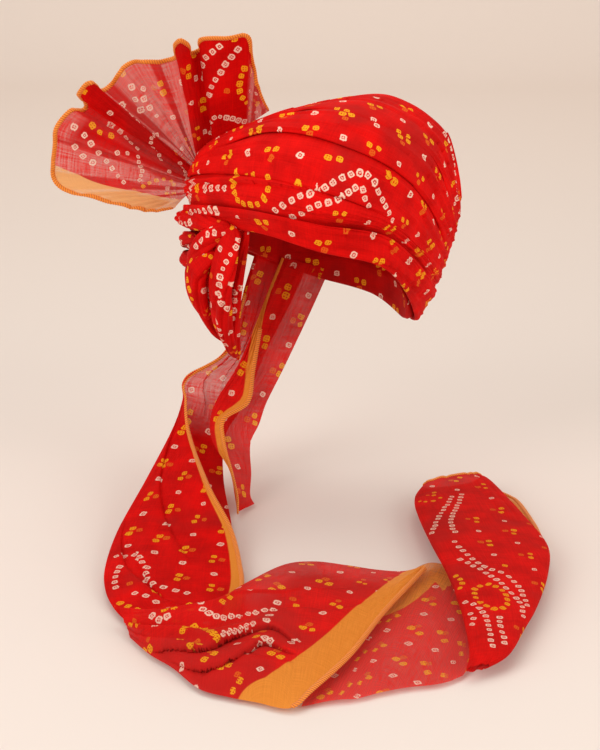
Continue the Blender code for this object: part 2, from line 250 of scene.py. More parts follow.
def dot_frames(faces, spots, chart):
    """Each dot's middle in the room and two unit directions on the cloth there. On the face
    nearest to the dot, the steps between its corners in the room, divided by the same steps
    on the flat cloth, tell how one millimetre right or up on the flat cloth lies in space."""
    centres = faces.mean(axis=1)
    near = np.array([((centres - dot[:2]) ** 2).sum(axis=1).argmin() for dot in chart])
    flat, room = faces[near], spots[near]
    flat_steps = np.stack([flat[:, 1] - flat[:, 0] + flat[:, 2] - flat[:, 3],
                           flat[:, 3] - flat[:, 0] + flat[:, 2] - flat[:, 1]], axis=1)
    room_steps = np.stack([room[:, 1] - room[:, 0] + room[:, 2] - room[:, 3],
                           room[:, 3] - room[:, 0] + room[:, 2] - room[:, 1]], axis=1)
    flat_steps += 1e-6 * np.eye(2)
    per_mm = np.linalg.solve(flat_steps, room_steps)
    off = np.clip(chart[:, :2] - flat.mean(axis=1), -4, 4)
    middle = room.mean(axis=1) + np.einsum("nk,nkx->nx", off, per_mm)
    cos, sin = np.cos(chart[:, 2:3]), np.sin(chart[:, 2:3])
    ahead = per_mm[:, 0] * cos + per_mm[:, 1] * sin
    ahead /= np.maximum(np.linalg.norm(ahead, axis=1, keepdims=True), 1e-6)
    beside = per_mm[:, 1] * cos - per_mm[:, 0] * sin
    beside -= ahead * np.sum(ahead * beside, axis=1, keepdims=True)
    beside /= np.maximum(np.linalg.norm(beside, axis=1, keepdims=True), 1e-6)
    shrink = np.clip(np.linalg.norm(per_mm, axis=2).min(axis=1), 0.6, 1)
    return near, middle, ahead, beside, chart[:, 4] * shrink


def mark_dots(mesh, corners, spots, chart):
    """Each face gets its corners' places inside the nearest dot, and that dot's dye. The
    nearest dot is looked up on the flat cloth, and the places are measured in the room, so
    a dot stays round where the cloth is gathered."""
    faces = corners.reshape(-1, 4, 2)
    spots = spots.reshape(-1, 4, 3)
    centres = faces.mean(axis=1)
    best, nearest = np.full(len(centres), np.inf), np.zeros(len(centres), int)
    for number, dot in enumerate(chart):
        away = ((centres - dot[:2]) ** 2).sum(axis=1)
        closer = away < best
        best[closer], nearest[closer] = away[closer], number
    near, middle, ahead, beside, size = dot_frames(faces, spots, chart)
    offset = (spots - middle[nearest][:, None]) / size[nearest][:, None, None]
    local = np.stack([np.einsum("fkx,fx->fk", offset, ahead[nearest]),
                      np.einsum("fkx,fx->fk", offset, beside[nearest])], axis=-1)
    far = best > DOT_REACH ** 2
    local[far] = 3
    layer = mesh.uv_layers.new(name="dot")
    layer.data.foreach_set("uv", np.clip(local, -3, 3).astype(np.float32).ravel())
    shade = mesh.attributes.new("dye", "FLOAT", "FACE")
    shade.data.foreach_set("value", chart[nearest, 3].astype(np.float32))
    pull = mesh.attributes.new("pull", "FLOAT", "FACE")
    strength = np.random.default_rng(7).uniform(0, 1, len(chart))[nearest]
    pull.data.foreach_set("value", strength.astype(np.float32))


def cloth_piece(name, points, cloth, chart, closed=False, flip=False, border=-50.0, sheer=0.0):
    """A piece of cloth as a mesh object, with its flat places, dots, border and sheerness."""
    mesh, row, column = grid_mesh(name, points, closed)
    corners = cloth[row, column]
    flat = mesh.uv_layers.new(name="cloth")
    flat.data.foreach_set("uv", (corners * MM).astype(np.float32).ravel())
    spots = points[row, column % (points.shape[1] - 1)] if closed else points[row, column]
    mark_dots(mesh, corners, spots, chart)
    kept = points.shape[1] - 1 if closed else points.shape[1]
    for label, value in (("border", border), ("sheer", sheer)):
        spread = np.broadcast_to(value, points.shape[:2])[:, :kept]
        attribute = mesh.attributes.new(label, "FLOAT", "POINT")
        attribute.data.foreach_set("value", spread.astype(np.float32).ravel())
    if flip:
        mesh.flip_normals()
    piece = bpy.data.objects.new(name, mesh)
    bpy.context.scene.collection.objects.link(piece)
    return piece


def place_cloth(piece, node, material):
    """The piece gets the material, hangs from the root and stands for its solid, which is hidden."""
    piece.data.materials.append(material)
    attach(piece, "root")
    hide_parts(node)
    uv = np.zeros(len(piece.data.loops) * 2, np.float32)
    piece.data.uv_layers["cloth"].data.foreach_get("uv", uv)


# %% [markdown]
# ## Colours and shader nodes
# The photograph's colours are written as sRGB hex values and turned to linear light once.
# One small function adds a node with its settings and links, which keeps a long shader
# readable as a list of steps.


# %% Node helper
def linear(code):
    """Linear light from an sRGB hex colour."""
    share = np.array([int(code[k:k + 2], 16) for k in (1, 3, 5)]) / 255
    light = np.where(share <= 0.04045, share / 12.92, ((share + 0.055) / 1.055) ** 2.4)
    return (*light.tolist(), 1.0)


def add_node(tree, kind, inputs=(), **settings):
    """A node of that kind. Each input is a value, or the socket that feeds it."""
    node = tree.nodes.new("ShaderNode" + kind)
    for name, value in settings.items():
        setattr(node, name, value)
    for name, value in dict(inputs).items():
        if isinstance(value, bpy.types.NodeSocket):
            tree.links.new(value, node.inputs[name])
        else:
            node.inputs[name].default_value = value
    return node


def empty_tree(name):
    """A new material with an empty tree."""
    material = bpy.data.materials.new(name)
    material.use_nodes = True
    material.node_tree.nodes.clear()
    return material, material.node_tree


# %% [markdown]
# ## Dyed cotton mul
# Mul is a plain weave of fine, uneven single yarns, dyed here in a hot red. To the eye it is
# matt, with a faint bloom at grazing angles and hair-thin lighter and darker lines where a
# yarn is thick or thin. The real yarns are about 0.25 mm apart, too fine to show, so the
# lines are drawn about 1.2 mm apart. In soft patches some 60 mm wide the turns below show
# through and dull the red. Where one layer hangs free, light comes through and the red turns
# to coral. The shader draws the ground first, then the slubs, the dot and the orange border.

# %% Cloth material
RING_OUT, RING_IN, SQUARENESS = 0.95, 0.52, 3.2
SLUB_FINE, SLUB_LONG = 800, 34
DULL_RED, BACKLIT_RED = "#a81a18", "#e8352e"


def dot_mask(tree):
    """How pale the dye is. A white dot is a ring between two superellipses with a cross or
    a speck in it, and a yellow one is filled, with four red specks."""
    place = add_node(tree, "UVMap", uv_map="dot").outputs["UV"]
    where = add_node(tree, "TexCoord").outputs["Object"]
    bleed = add_node(tree, "TexNoise", {"Vector": where, "Scale": 520.0, "Detail": 1.0})
    nudge = add_node(tree, "VectorMath", {0: bleed.outputs["Color"], 1: (0.5, 0.5, 0.5)},
                     operation="SUBTRACT")
    nudge = add_node(tree, "VectorMath", {0: nudge.outputs[0], "Scale": 0.55},
                     operation="SCALE")
    place = add_node(tree, "VectorMath", {0: place, 1: nudge.outputs[0]}, operation="ADD")
    place = add_node(tree, "VectorMath", {0: place.outputs[0]}, operation="ABSOLUTE")
    side = add_node(tree, "SeparateXYZ", {0: place.outputs[0]})
    powers = [add_node(tree, "Math", {0: side.outputs[k], 1: SQUARENESS},
                       operation="POWER").outputs[0] for k in (0, 1)]
    total = add_node(tree, "Math", {0: powers[0], 1: powers[1]}, operation="ADD")
    radius = add_node(tree, "Math", {0: total.outputs[0], 1: 1 / SQUARENESS},
                      operation="POWER").outputs[0]
    outside = add_node(tree, "MapRange", {"Value": radius, "From Min": RING_OUT + 0.08,
                                          "From Max": RING_OUT - 0.08},
                       interpolation_type="SMOOTHSTEP").outputs[0]
    inside = add_node(tree, "MapRange", {"Value": radius, "From Min": RING_IN - 0.1,
                                         "From Max": RING_IN + 0.08},
                      interpolation_type="SMOOTHSTEP").outputs[0]
    ring = add_node(tree, "Math", {0: outside, 1: inside}, operation="MULTIPLY").outputs[0]
    arms = add_node(tree, "Math", {0: side.outputs[0], 1: side.outputs[1]},
                    operation="MINIMUM").outputs[0]
    cross = add_node(tree, "MapRange", {"Value": arms, "From Min": 0.17,
                                        "From Max": 0.05}).outputs[0]
    speck = add_node(tree, "MapRange", {"Value": radius, "From Min": 0.3,
                                        "From Max": 0.12}).outputs[0]
    pull = add_node(tree, "Attribute", attribute_name="pull").outputs["Fac"]
    heart = add_node(tree, "Mix", {0: pull, 2: speck, 3: cross}, data_type="FLOAT").outputs[0]
    heart = add_node(tree, "Math", {0: heart, 1: outside}, operation="MULTIPLY").outputs[0]
    mask = add_node(tree, "Math", {0: ring, 1: heart}, operation="MAXIMUM").outputs[0]
    flat_place = add_node(tree, "CombineXYZ", {0: side.outputs[0], 1: side.outputs[1]})
    gap = add_node(tree, "VectorMath", {0: flat_place.outputs[0], 1: (0.36, 0.36, 0)},
                   operation="DISTANCE").outputs["Value"]
    waffle = add_node(tree, "MapRange", {"Value": gap, "From Min": 0.1,
                                         "From Max": 0.26}).outputs[0]
    waffle = add_node(tree, "Math", {0: waffle, 1: outside}, operation="MULTIPLY").outputs[0]
    dye = add_node(tree, "Attribute", attribute_name="dye").outputs["Fac"]
    yellow = add_node(tree, "Clamp", {"Value": dye}).outputs[0]
    mask = add_node(tree, "Mix", {0: yellow, 2: mask, 3: waffle}, data_type="FLOAT").outputs[0]
    power = add_node(tree, "MapRange", {"Value": pull, "To Min": 1.0, "To Max": 0.8}).outputs[0]
    return add_node(tree, "Math", {0: mask, 1: power}, operation="MULTIPLY").outputs[0]


def slub_lines(tree):
    """Two sets of long thin noise, along and across the cloth, averaged."""
    flat = add_node(tree, "UVMap", uv_map="cloth").outputs["UV"]
    lines = []
    for scale in ((SLUB_LONG, SLUB_FINE, 1), (SLUB_FINE, SLUB_LONG, 1)):
        squeezed = add_node(tree, "Mapping", {"Vector": flat, "Scale": scale}).outputs[0]
        lines.append(add_node(tree, "TexNoise", {"Vector": squeezed, "Scale": 1.0,
                                                 "Detail": 3.0,
                                                 "Roughness": 0.7}).outputs[0])
    both = add_node(tree, "Math", {0: lines[0], 1: lines[1]}, operation="ADD").outputs[0]
    return add_node(tree, "Math", {0: both, 1: 0.5}, operation="MULTIPLY").outputs[0]


def cloth_material(name, deep, bright, border, dyes, glow=0.0, gauze=0.0):
    """Dyed cotton mul. deep and bright are the ends of the red ground, dyes the colours of
    white, yellow and dull dots, glow the light let through, gauze how open the weave is."""
    material, tree = empty_tree(name)
    where = add_node(tree, "TexCoord").outputs["Object"]
    cloud = add_node(tree, "TexNoise", {"Vector": where, "Scale": 42.0, "Detail": 3.0})
    slub = slub_lines(tree)
    shade = add_node(tree, "Math", {0: cloud.outputs[0], 1: slub}, operation="ADD").outputs[0]
    shade = add_node(tree, "MapRange", {"Value": shade, "From Min": 0.78,
                                        "From Max": 1.22}).outputs[0]
    ground = add_node(tree, "Mix", {0: shade, 6: linear(deep), 7: linear(bright)},
                      data_type="RGBA").outputs[2]
    patch = add_node(tree, "TexNoise", {"Vector": where, "Scale": 17.0, "Detail": 2.0})
    patch = add_node(tree, "MapRange", {"Value": patch.outputs[0], "From Min": 0.5,
                                        "From Max": 0.68}, interpolation_type="SMOOTHSTEP")
    patch = add_node(tree, "Math", {0: patch.outputs[0], 1: slub}, operation="MULTIPLY")
    ground = add_node(tree, "Mix", {0: patch.outputs[0], 6: ground, 7: linear(DULL_RED)},
                      data_type="RGBA").outputs[2]
    # Painted light: where the cloth is sheer its red is painted paler, towards coral, for the
    # light that comes through one layer.
    thin = add_node(tree, "Attribute", attribute_name="sheer").outputs["Fac"]
    backlit_share = add_node(tree, "Math", {0: thin, 1: 0.7}, operation="MULTIPLY").outputs[0]
    ground = add_node(tree, "Mix", {0: backlit_share, 6: ground, 7: linear(BACKLIT_RED)},
                      data_type="RGBA").outputs[2]
    dye = add_node(tree, "Attribute", attribute_name="dye").outputs["Fac"]
    colour = add_node(tree, "Mix", {0: dye, 6: linear(dyes[0]), 7: linear(dyes[1])},
                      data_type="RGBA").outputs[2]
    dull = add_node(tree, "Math", {0: dye, 1: 1.0}, operation="SUBTRACT").outputs[0]
    colour = add_node(tree, "Mix", {0: dull, 6: colour, 7: linear(dyes[2])},
                      data_type="RGBA").outputs[2]
    colour = add_node(tree, "Mix", {0: dot_mask(tree), 6: ground, 7: colour},
                      data_type="RGBA").outputs[2]
    edge = add_node(tree, "Attribute", attribute_name="border").outputs["Fac"]
    edge = add_node(tree, "MapRange", {"Value": edge, "From Min": -0.5,
                                       "From Max": 0.5}).outputs[0]
    tint = add_node(tree, "Mix", {0: slub, 6: linear(border[0]), 7: linear(border[1])},
                    data_type="RGBA").outputs[2]
    colour = add_node(tree, "Mix", {0: edge, 6: colour, 7: tint}, data_type="RGBA").outputs[2]
    bump = add_node(tree, "Bump", {"Height": slub, "Strength": 0.35, "Distance": 0.0004})
    surface = add_node(tree, "BsdfPrincipled", {
        "Base Color": colour, "Roughness": 0.78, "Normal": bump.outputs[0],
        "Specular IOR Level": 0.08, "Sheen Weight": 0.02, "Sheen Roughness": 0.45,
        "Sheen Tint": linear("#ff8a70")}).outputs[0]
    if glow:
        behind = add_node(tree, "BsdfTranslucent", {"Color": colour}).outputs[0]
        surface = add_node(tree, "MixShader", {0: glow, 1: surface, 2: behind}).outputs[0]
    if gauze:
        open_share = add_node(tree, "MapRange", {"Value": slub, "From Min": 0.6,
                                                 "From Max": 0.4, "To Min": 0.1 * gauze,
                                                 "To Max": 2.1 * gauze}).outputs[0]
        open_share = add_node(tree, "Math", {0: open_share, 1: thin},
                              operation="MULTIPLY").outputs[0]
        clear = add_node(tree, "BsdfTransparent").outputs[0]
        surface = add_node(tree, "MixShader", {0: open_share, 1: surface,
                                               2: clear}).outputs[0]
    add_node(tree, "OutputMaterial", {"Surface": surface})
    return material


DOT_DYES = ("#f4d2bd", "#f2a91c", "#e0641a")
ORANGE = ("#dc7a1e", "#f2a044")
wrap_cotton = cloth_material("dyed_cotton_mul_wraps", "#bf0604", "#e60c08", ORANGE, DOT_DYES)
hank_cotton = cloth_material("dyed_cotton_mul_hank", "#b80504", "#e00a07", ORANGE, DOT_DYES)
# Painted shade: the inner turns get a darker copy of the same red, for the shade inside the
# hollow of the turban.
shaded_inner_cotton = cloth_material("dyed_cotton_mul_inner_shaded", "#a80504", "#cc0a08", ORANGE, DOT_DYES)
crest_cotton = cloth_material("dyed_cotton_mul_crest", "#b80404", "#dc0806",
                              ("#e29a52", "#f5bc80"), DOT_DYES,
                              glow=0.3, gauze=0.17)
tail_cotton = cloth_material("dyed_cotton_mul_tail", "#c00504", "#e60a07", ORANGE, DOT_DYES,
                             glow=0.2, gauze=0.19)
single_cotton = cloth_material("dyed_cotton_mul_single", "#c81512", "#e0241f", ORANGE,
                               DOT_DYES, glow=0.3, gauze=0.17)
print("cloth materials:", len([m for m in bpy.data.materials if "cotton" in m.name]))

# %% [markdown]
# ## The outer surface of the wraps
# A turban like this goes round the head in bands that lie over each other like shingles, and
# run together over each ear. The same table of fold lines that shapes the solids gives the
# outer surface here: a smooth ring through eight places for each fold line, and a smooth
# curve from ring to ring. A depth then sinks the cloth under that surface.

# %% Turban surface
# Columns: left, left front, front, right front, right, right back, back, left back
FOLD_LINES = (
    ((-117, 0, 270), (-60, -78, 284), (0, -110, 273), (59, -80, 250),
     (92, 8, 184), (58, 92, 190), (-4, 120, 200), (-66, 98, 226)),
    ((-121, 0, 293), (-65, -90, 306), (-2, -121, 299), (61, -90, 280),
     (107, 10, 212), (68, 102, 222), (-3, 134, 240), (-70, 108, 262)),
    ((-119, 2, 317), (-57, -97, 336), (3, -129, 327), (66, -94, 296),
     (114, 10, 231), (80, 102, 256), (6, 139, 284), (-63, 112, 300)),
    ((-108, 5, 338), (-49, -78, 369), (16, -106, 365), (80, -78, 326),
     (121, 10, 254), (97, 88, 298), (26, 114, 334), (-46, 96, 330)),
    ((-93, 8, 351), (-30, -45, 382), (35, -66, 388), (96, -50, 348),
     (127, 10, 277), (109, 56, 334), (44, 70, 371), (-26, 58, 364)),
    ((-70, 8, 355), (-14, 4, 378), (58, 4, 390), (112, 4, 357),
     (128, 10, 297), (112, 4, 357), (58, 4, 390), (-14, 4, 378)),
)
TURNS = len(FOLD_LINES[0])
FINE_LEVELS = 200
# The middle of the wraps: its share of a place's own x, its y and its greatest z
MIDDLE_SHARE, MIDDLE_BACK, MIDDLE_HEIGHT = 0.4, 10, 270


def towards_middle(points):
    """Unit vectors from the outer surface in towards the middle of the head."""
    middle = points.copy()
    middle[..., 0] *= MIDDLE_SHARE
    middle[..., 1] = MIDDLE_BACK
    middle[..., 2] = np.minimum(points[..., 2], MIDDLE_HEIGHT)
    inward = middle - points
    return inward / np.linalg.norm(inward, axis=-1, keepdims=True)


def turban_points(turns, levels, depths):
    """Points for a row of turns and a grid of levels: the rings' curves read level by level
    on a fine ladder, and between two rungs in proportion, then sunk by the depths."""
    rings = np.array([spline(line, turns, closed=True) for line in FOLD_LINES])
    top = len(FOLD_LINES) - 1
    ladder = spline(rings, np.linspace(0, top, top * FINE_LEVELS + 1))
    place = np.clip(levels, 0, top - 1e-6) * FINE_LEVELS
    rung = place.astype(int)
    column = np.arange(len(turns))
    share = (place - rung)[..., None]
    surface = ladder[rung, column] * (1 - share) + ladder[rung + 1, column] * share
    return surface + towards_middle(surface) * depths[..., None]


# %% [markdown]
# ## Pleats in a wrap
# A wrap is a band of cloth pulled tight round the head. Where the bands run together over
# the ears the extra width stands up in pleats, which fade out over the brow. A pleat is cloth
# folded over itself, so its section is a step: it stands proud just above its line and dips
# just below. The pleats that the photograph shows are in a table, and seeded ones fill the
# gathers round them.

# %% Pleats
# For each wrap, the pleats that show in front. Columns: first turn, last turn, level at each
# end, how far its middle bows up, rise in mm
FRONT_PLEATS = {
    "wrap_brow": ((0.1, 1.4, 0.45, 0.6, 0.05, 0.9), (2.5, 4.0, 0.0, 0.75, -0.1, 1.5),
                  (3.0, 4.3, 0.1, 0.9, -0.1, 1.4), (1.9, 3.4, 0.75, 0.6, 0.05, 1.0)),
    "wrap_second": ((-0.3, 2.2, 1.8, 2.05, -0.1, 2.8), (1.5, 3.7, 1.25, 1.1, 0.15, 1.6),
                    (1.4, 2.8, 1.2, 1.6, 0.0, 1.2), (-0.2, 0.9, 1.45, 1.3, 0.05, 1.1)),
    "wrap_third": ((-0.2, 1.7, 3.0, 2.1, 0.0, 1.5), (2.3, 4.1, 2.75, 2.3, 0.1, 1.7),
                   (2.6, 4.2, 2.35, 2.0, 0.05, 1.3), (1.6, 3.0, 2.2, 2.1, 0.1, 0.9)),
    "wrap_fourth": ((2.4, 4.1, 3.5, 3.1, 0.1, 1.5), (2.9, 4.2, 3.8, 3.4, 0.0, 1.4),
                    (0.0, 1.3, 3.5, 3.6, 0.05, 1.2), (1.5, 2.9, 3.3, 3.35, 0.05, 0.8)),
    "wrap_crown": ((2.4, 4.1, 4.5, 4.0, 0.1, 1.7), (2.0, 3.4, 4.6, 4.7, 0.0, 1.2),
                   (0.2, 1.4, 4.45, 4.5, 0.0, 1.2)),
}
# Seeded pleats at each gather. Columns: turn of the gather, direction round the head, number
GATHERS = ((0.0, 1, 4), (0.0, -1, 8), (4.0, -1, 8), (4.0, 1, 8))


def seeded_pleats(seed, low, high):
    """Pleats that leave each gather at even levels and fan out a little."""
    random = np.random.default_rng(seed)
    rows = []
    for gather, way, number in GATHERS:
        for share in (np.arange(number) + random.uniform(0.2, 0.8, number)) / number:
            first = gather + way * random.uniform(-0.15, 0.35)
            length = random.uniform(0.7, 2.3)
            level = low + (high - low) * share
            drift = (share - 0.5) * 0.3 * (high - low)
            rows.append((first, first + way * length, level, level + drift,
                         random.normal(0, 0.03), random.uniform(0.5, 1.3)))
    return rows


def pleat_height(turns, levels, width, rows):
    """Sum of steps, 1.3 times the rise in mm: just above a pleat's line the cloth rises and
    sinks back over 8 mm, just below it dips for 2 mm, and it fades as a half sine towards
    its ends."""
    height = np.zeros(levels.shape)
    for first, last, low, high, bow, rise in rows:
        way = np.sign(last - first)
        share = ((turns - first) * way % TURNS) / abs(last - first)
        share = np.clip(np.where(share > 1, 0, share), 0, 1)[None, :]
        line = low + (high - low) * share + bow * np.sin(np.pi * share)
        away = (levels - line) * width
        fade = np.sin(np.pi * share) ** 0.6
        step = np.where(away > 0, np.exp(-np.abs(away) / 8.0),
                        -0.8 * np.exp(-np.abs(away) / 2.4))
        height += 1.3 * rise * fade * step
    return height


def gather_ripple(turns, levels, width, seed):
    """Narrow ridges across the band near both ears, about 7 mm apart."""
    from_left = np.minimum(turns % TURNS, -turns % TURNS)
    from_right = np.abs(turns % TURNS - TURNS / 2)
    near = np.exp(-(from_left / 0.5) ** 2) + 0.8 * np.exp(-(from_right / 0.5) ** 2)
    phase = levels * width / 7.0 + 1.6 * wander(turns * 2.0, levels * 2.0, seed, 16)
    return near[None, :] * 1.3 * (np.abs(np.sin(np.pi * phase)) ** 0.8 - 0.6)


# %% [markdown]
# ## The five wraps
# Each wrap is one closed band. Its section goes from the cloth turned under at the lower edge,
# round the rolled fold, up the outside and in under the next band, so that every edge is a
# real fold with a soft shadow under it. A table gives the section as levels and depths. The
# lower folds wander a little from their fold lines, and towards the right ear they run
# together, where the cloth is pulled tightest.

# %% Wraps
WRAP_COLUMNS = 560
WRAP_ROWS = 64
WRAP_LEAN = -0.27
# For each wrap: the level of its lower fold, mm of cloth for one level, one cluster of dots
# as a turn and a level, the slope of the dots' rows, and the section (level, depth)
WRAPS = {
    "wrap_brow": (0.0, 29, (1.25, 0.5), -0.12, (
        (0.26, 4.6), (0.12, 4.6), (0.02, 3.8), (0.0, 2.3), (0.03, 0.8), (0.14, 0.0),
        (0.5, 0.3), (0.86, 0.0), (0.96, 0.2), (1.0, 1.2), (0.985, 2.4), (0.92, 3.2))),
    "wrap_second": (1.0, 29, (2.25, 1.35), 0.0, (
        (0.84, 5.4), (0.96, 5.2), (1.08, 4.0), (1.25, 1.9), (1.45, 1.2), (1.7, 1.3),
        (1.92, 2.4), (2.05, 4.6), (2.25, 5.4))),
    "wrap_third": (2.0, 42, (2.0, 2.6), 0.06, (
        (2.2, 4.0), (2.1, 4.0), (2.015, 3.4), (1.995, 2.2), (2.02, 0.8), (2.1, 0.0),
        (2.5, 0.6), (2.8, 2.0), (3.0, 4.5), (3.25, 5.4))),
    "wrap_fourth": (3.0, 50, (1.6, 3.1), 0.03, (
        (3.2, 4.0), (3.1, 4.0), (3.015, 3.4), (2.995, 2.2), (3.02, 0.8), (3.1, 0.0),
        (3.4, 0.2), (3.7, 0.9), (4.0, 3.2), (4.25, 5.4))),
    "wrap_crown": (4.0, 60, (2.1, 4.2), 0.0, (
        (4.2, 3.0), (4.1, 3.0), (4.02, 2.7), (3.995, 2.1), (4.01, 1.3), (4.08, 0.4),
        (4.35, 0.3), (4.65, 0.2), (4.9, 0.0), (5.0, 0.0))),
}
# How far each lower fold strays from its fold line. Columns: turn, level
STRAY = {
    "wrap_brow": ((0, 0), (8, 0)),
    "wrap_second": ((0, 0.2), (0.9, 0), (1.4, -0.1), (2.1, 0.1), (2.6, 0), (3.0, -0.1),
                    (3.5, 0), (3.7, -0.15), (4.2, -0.1), (4.8, 0), (7.6, 0), (8, 0.2)),
    "wrap_third": ((0, 0.1), (0.3, 0.2), (0.7, 0.05), (1.3, -0.05), (2.2, 0.05),
                   (2.9, -0.1), (3.3, -0.3), (3.6, -0.55), (3.8, -0.8), (4.1, -0.8),
                   (4.6, -0.3), (5.2, 0), (7.6, 0), (8, 0.1)),
    "wrap_fourth": ((0, -0.35), (0.4, -0.2), (0.8, 0.1), (1.9, 0), (3.2, -0.05), (3.5, 0.05),
                    (3.7, -0.1), (3.9, -0.7), (4.1, -0.9), (4.6, -0.3), (5.2, 0), (7.4, 0),
                    (8, -0.35)),
    "wrap_crown": ((0, 0), (1.2, 0), (1.7, -0.2), (2.4, -0.25), (2.8, -0.1), (3.3, 0.05),
                   (3.6, -0.1), (3.8, -0.4), (4.1, -0.5), (4.6, -0.2), (5, 0), (8, 0)),
}
# Chains and rings as turns and levels of the outer surface, with their dye
WRAP_CHAINS = (
    (((1.4, 1.0), (1.6, 1.5), (1.95, 2.05), (2.2, 2.45), (2.4, 2.6), (2.55, 2.5),
      (2.7, 2.3), (2.85, 2.05), (2.95, 1.9)), WHITE),
    (((1.6, 0.95), (1.75, 1.15), (1.95, 1.55), (2.15, 1.85), (2.3, 2.2), (2.4, 2.35),
      (2.5, 2.15), (2.6, 1.95)), WHITE),
    (((0.8, 2.1), (0.8, 1.65), (0.85, 1.4), (0.9, 1.2), (1.05, 1.1), (1.2, 1.2),
      (1.25, 1.4), (1.25, 1.75), (1.2, 2.1)), YELLOW),
    (((0.45, 1.5), (0.6, 1.55), (0.75, 1.55)), WHITE, False, 9.5),
    (((0.35, 2.1), (0.3, 1.9), (0.25, 1.5), (0.2, 1.3), (0.1, 1.1), (0.0, 0.9)), WHITE),
    (((0.0, 0.55), (0.2, 0.6), (0.4, 0.75), (0.7, 0.8)), WHITE),
    (((2.95, 4.85), (3.1, 4.9), (3.3, 4.85), (3.5, 4.6), (3.6, 4.3), (3.65, 4.0)), WHITE),
)


def wrap_piece(name, seed):
    """One wrap as a grid: turns round the head by the section's places."""
    base, width, cluster, slope, section = WRAPS[name]
    profile = spline(section, np.linspace(0, len(section) - 1, WRAP_ROWS))
    turns = np.linspace(0, TURNS, WRAP_COLUMNS + 1)
    run = np.hypot(np.diff(profile[:, 0]) * width, np.diff(profile[:, 1]))
    across = np.append(0, np.cumsum(run))
    outside = WRAP_ROWS // 3
    across -= np.interp(base + 0.12, profile[outside:, 0], across[outside:]) - 0.12 * width
    stray = np.interp(turns, *np.array(STRAY[name], float).T)
    padded = np.concatenate([stray[-21:-1], stray, stray[1:21]])
    stray = np.convolve(padded, np.full(41, 1 / 41), "valid")
    stray = stray + 0.02 * wander(turns * 1.5, base * 3.1, seed, 12)
    fading = np.clip((base + 0.9 - profile[:, 0]) / 0.8, 0, 1)
    shift = fading[:, None] * stray[None, :]
    levels = np.maximum(profile[:, 0][:, None] + shift, 0)
    top = section[-1][0]
    rows = list(FRONT_PLEATS[name]) + seeded_pleats(seed, base, min(top, base + 1))
    height = pleat_height(turns, levels, width, rows)
    height += gather_ripple(turns, levels, width, seed)
    height += 0.5 * wander(turns * 3, levels * 4, seed + 50, 24)
    sunk = profile[:, 1][:, None]
    height *= np.clip(1.3 - sunk / 4.5, 0.15, 1)
    points = turban_points(turns, levels, np.broadcast_to(sunk, levels.shape) - height)
    middle = turban_points(turns, np.full((1, len(turns)), base + 0.5), np.zeros((1, 1)))[0]
    along = np.append(0, np.cumsum(np.linalg.norm(np.diff(middle, axis=0), axis=1)))
    across = across[:, None] + shift * width
    cloth = np.stack([np.broadcast_to(along, across.shape), across], axis=2)

    def spread(places):
        """Turns and levels as millimetres on this wrap's flat cloth."""
        places = np.asarray(places, float)
        return np.stack([np.interp(places[:, 0], turns, along),
                         (places[:, 1] - base) * width], axis=1)

    ground = ground_dots((0, across.min()), (along[-1], across.max()), spread([cluster])[0],
                         slope, WRAP_LEAN)
    chains = [(spread(line), *rest) for line, *rest in WRAP_CHAINS]
    chart = dye_chart(ground, chains)
    if name != "wrap_crown":
        chart = chart[chart[:, 1] < width]
    return cloth_piece(name + "_cloth", points, cloth, chart, closed=True)


wrap_pieces = {}
for number, name in enumerate(WRAPS):
    wrap_pieces[name] = wrap_piece(name, seed=11 + number)
    place_cloth(wrap_pieces[name], name, wrap_cotton)

# %% [markdown]
# ## The inner turns
# Under the wraps lie the first turns of the same cloth, and their inside is what one sees
# from below. It follows the head: an elliptical column under a dome. Bands of cloth lean
# across it, each a little proud of the next, so the surface is a leaning saw-tooth.

# %% Inner turns
HEAD = (79.5, 99.0, 81.0)
HEAD_CENTRE = (0, 0, 250)
BAND = 27.0
# Mean radii round the head and over its dome, which turn angles into mm of cloth
ROUND_RADIUS, DOME_RADIUS = 90, 80


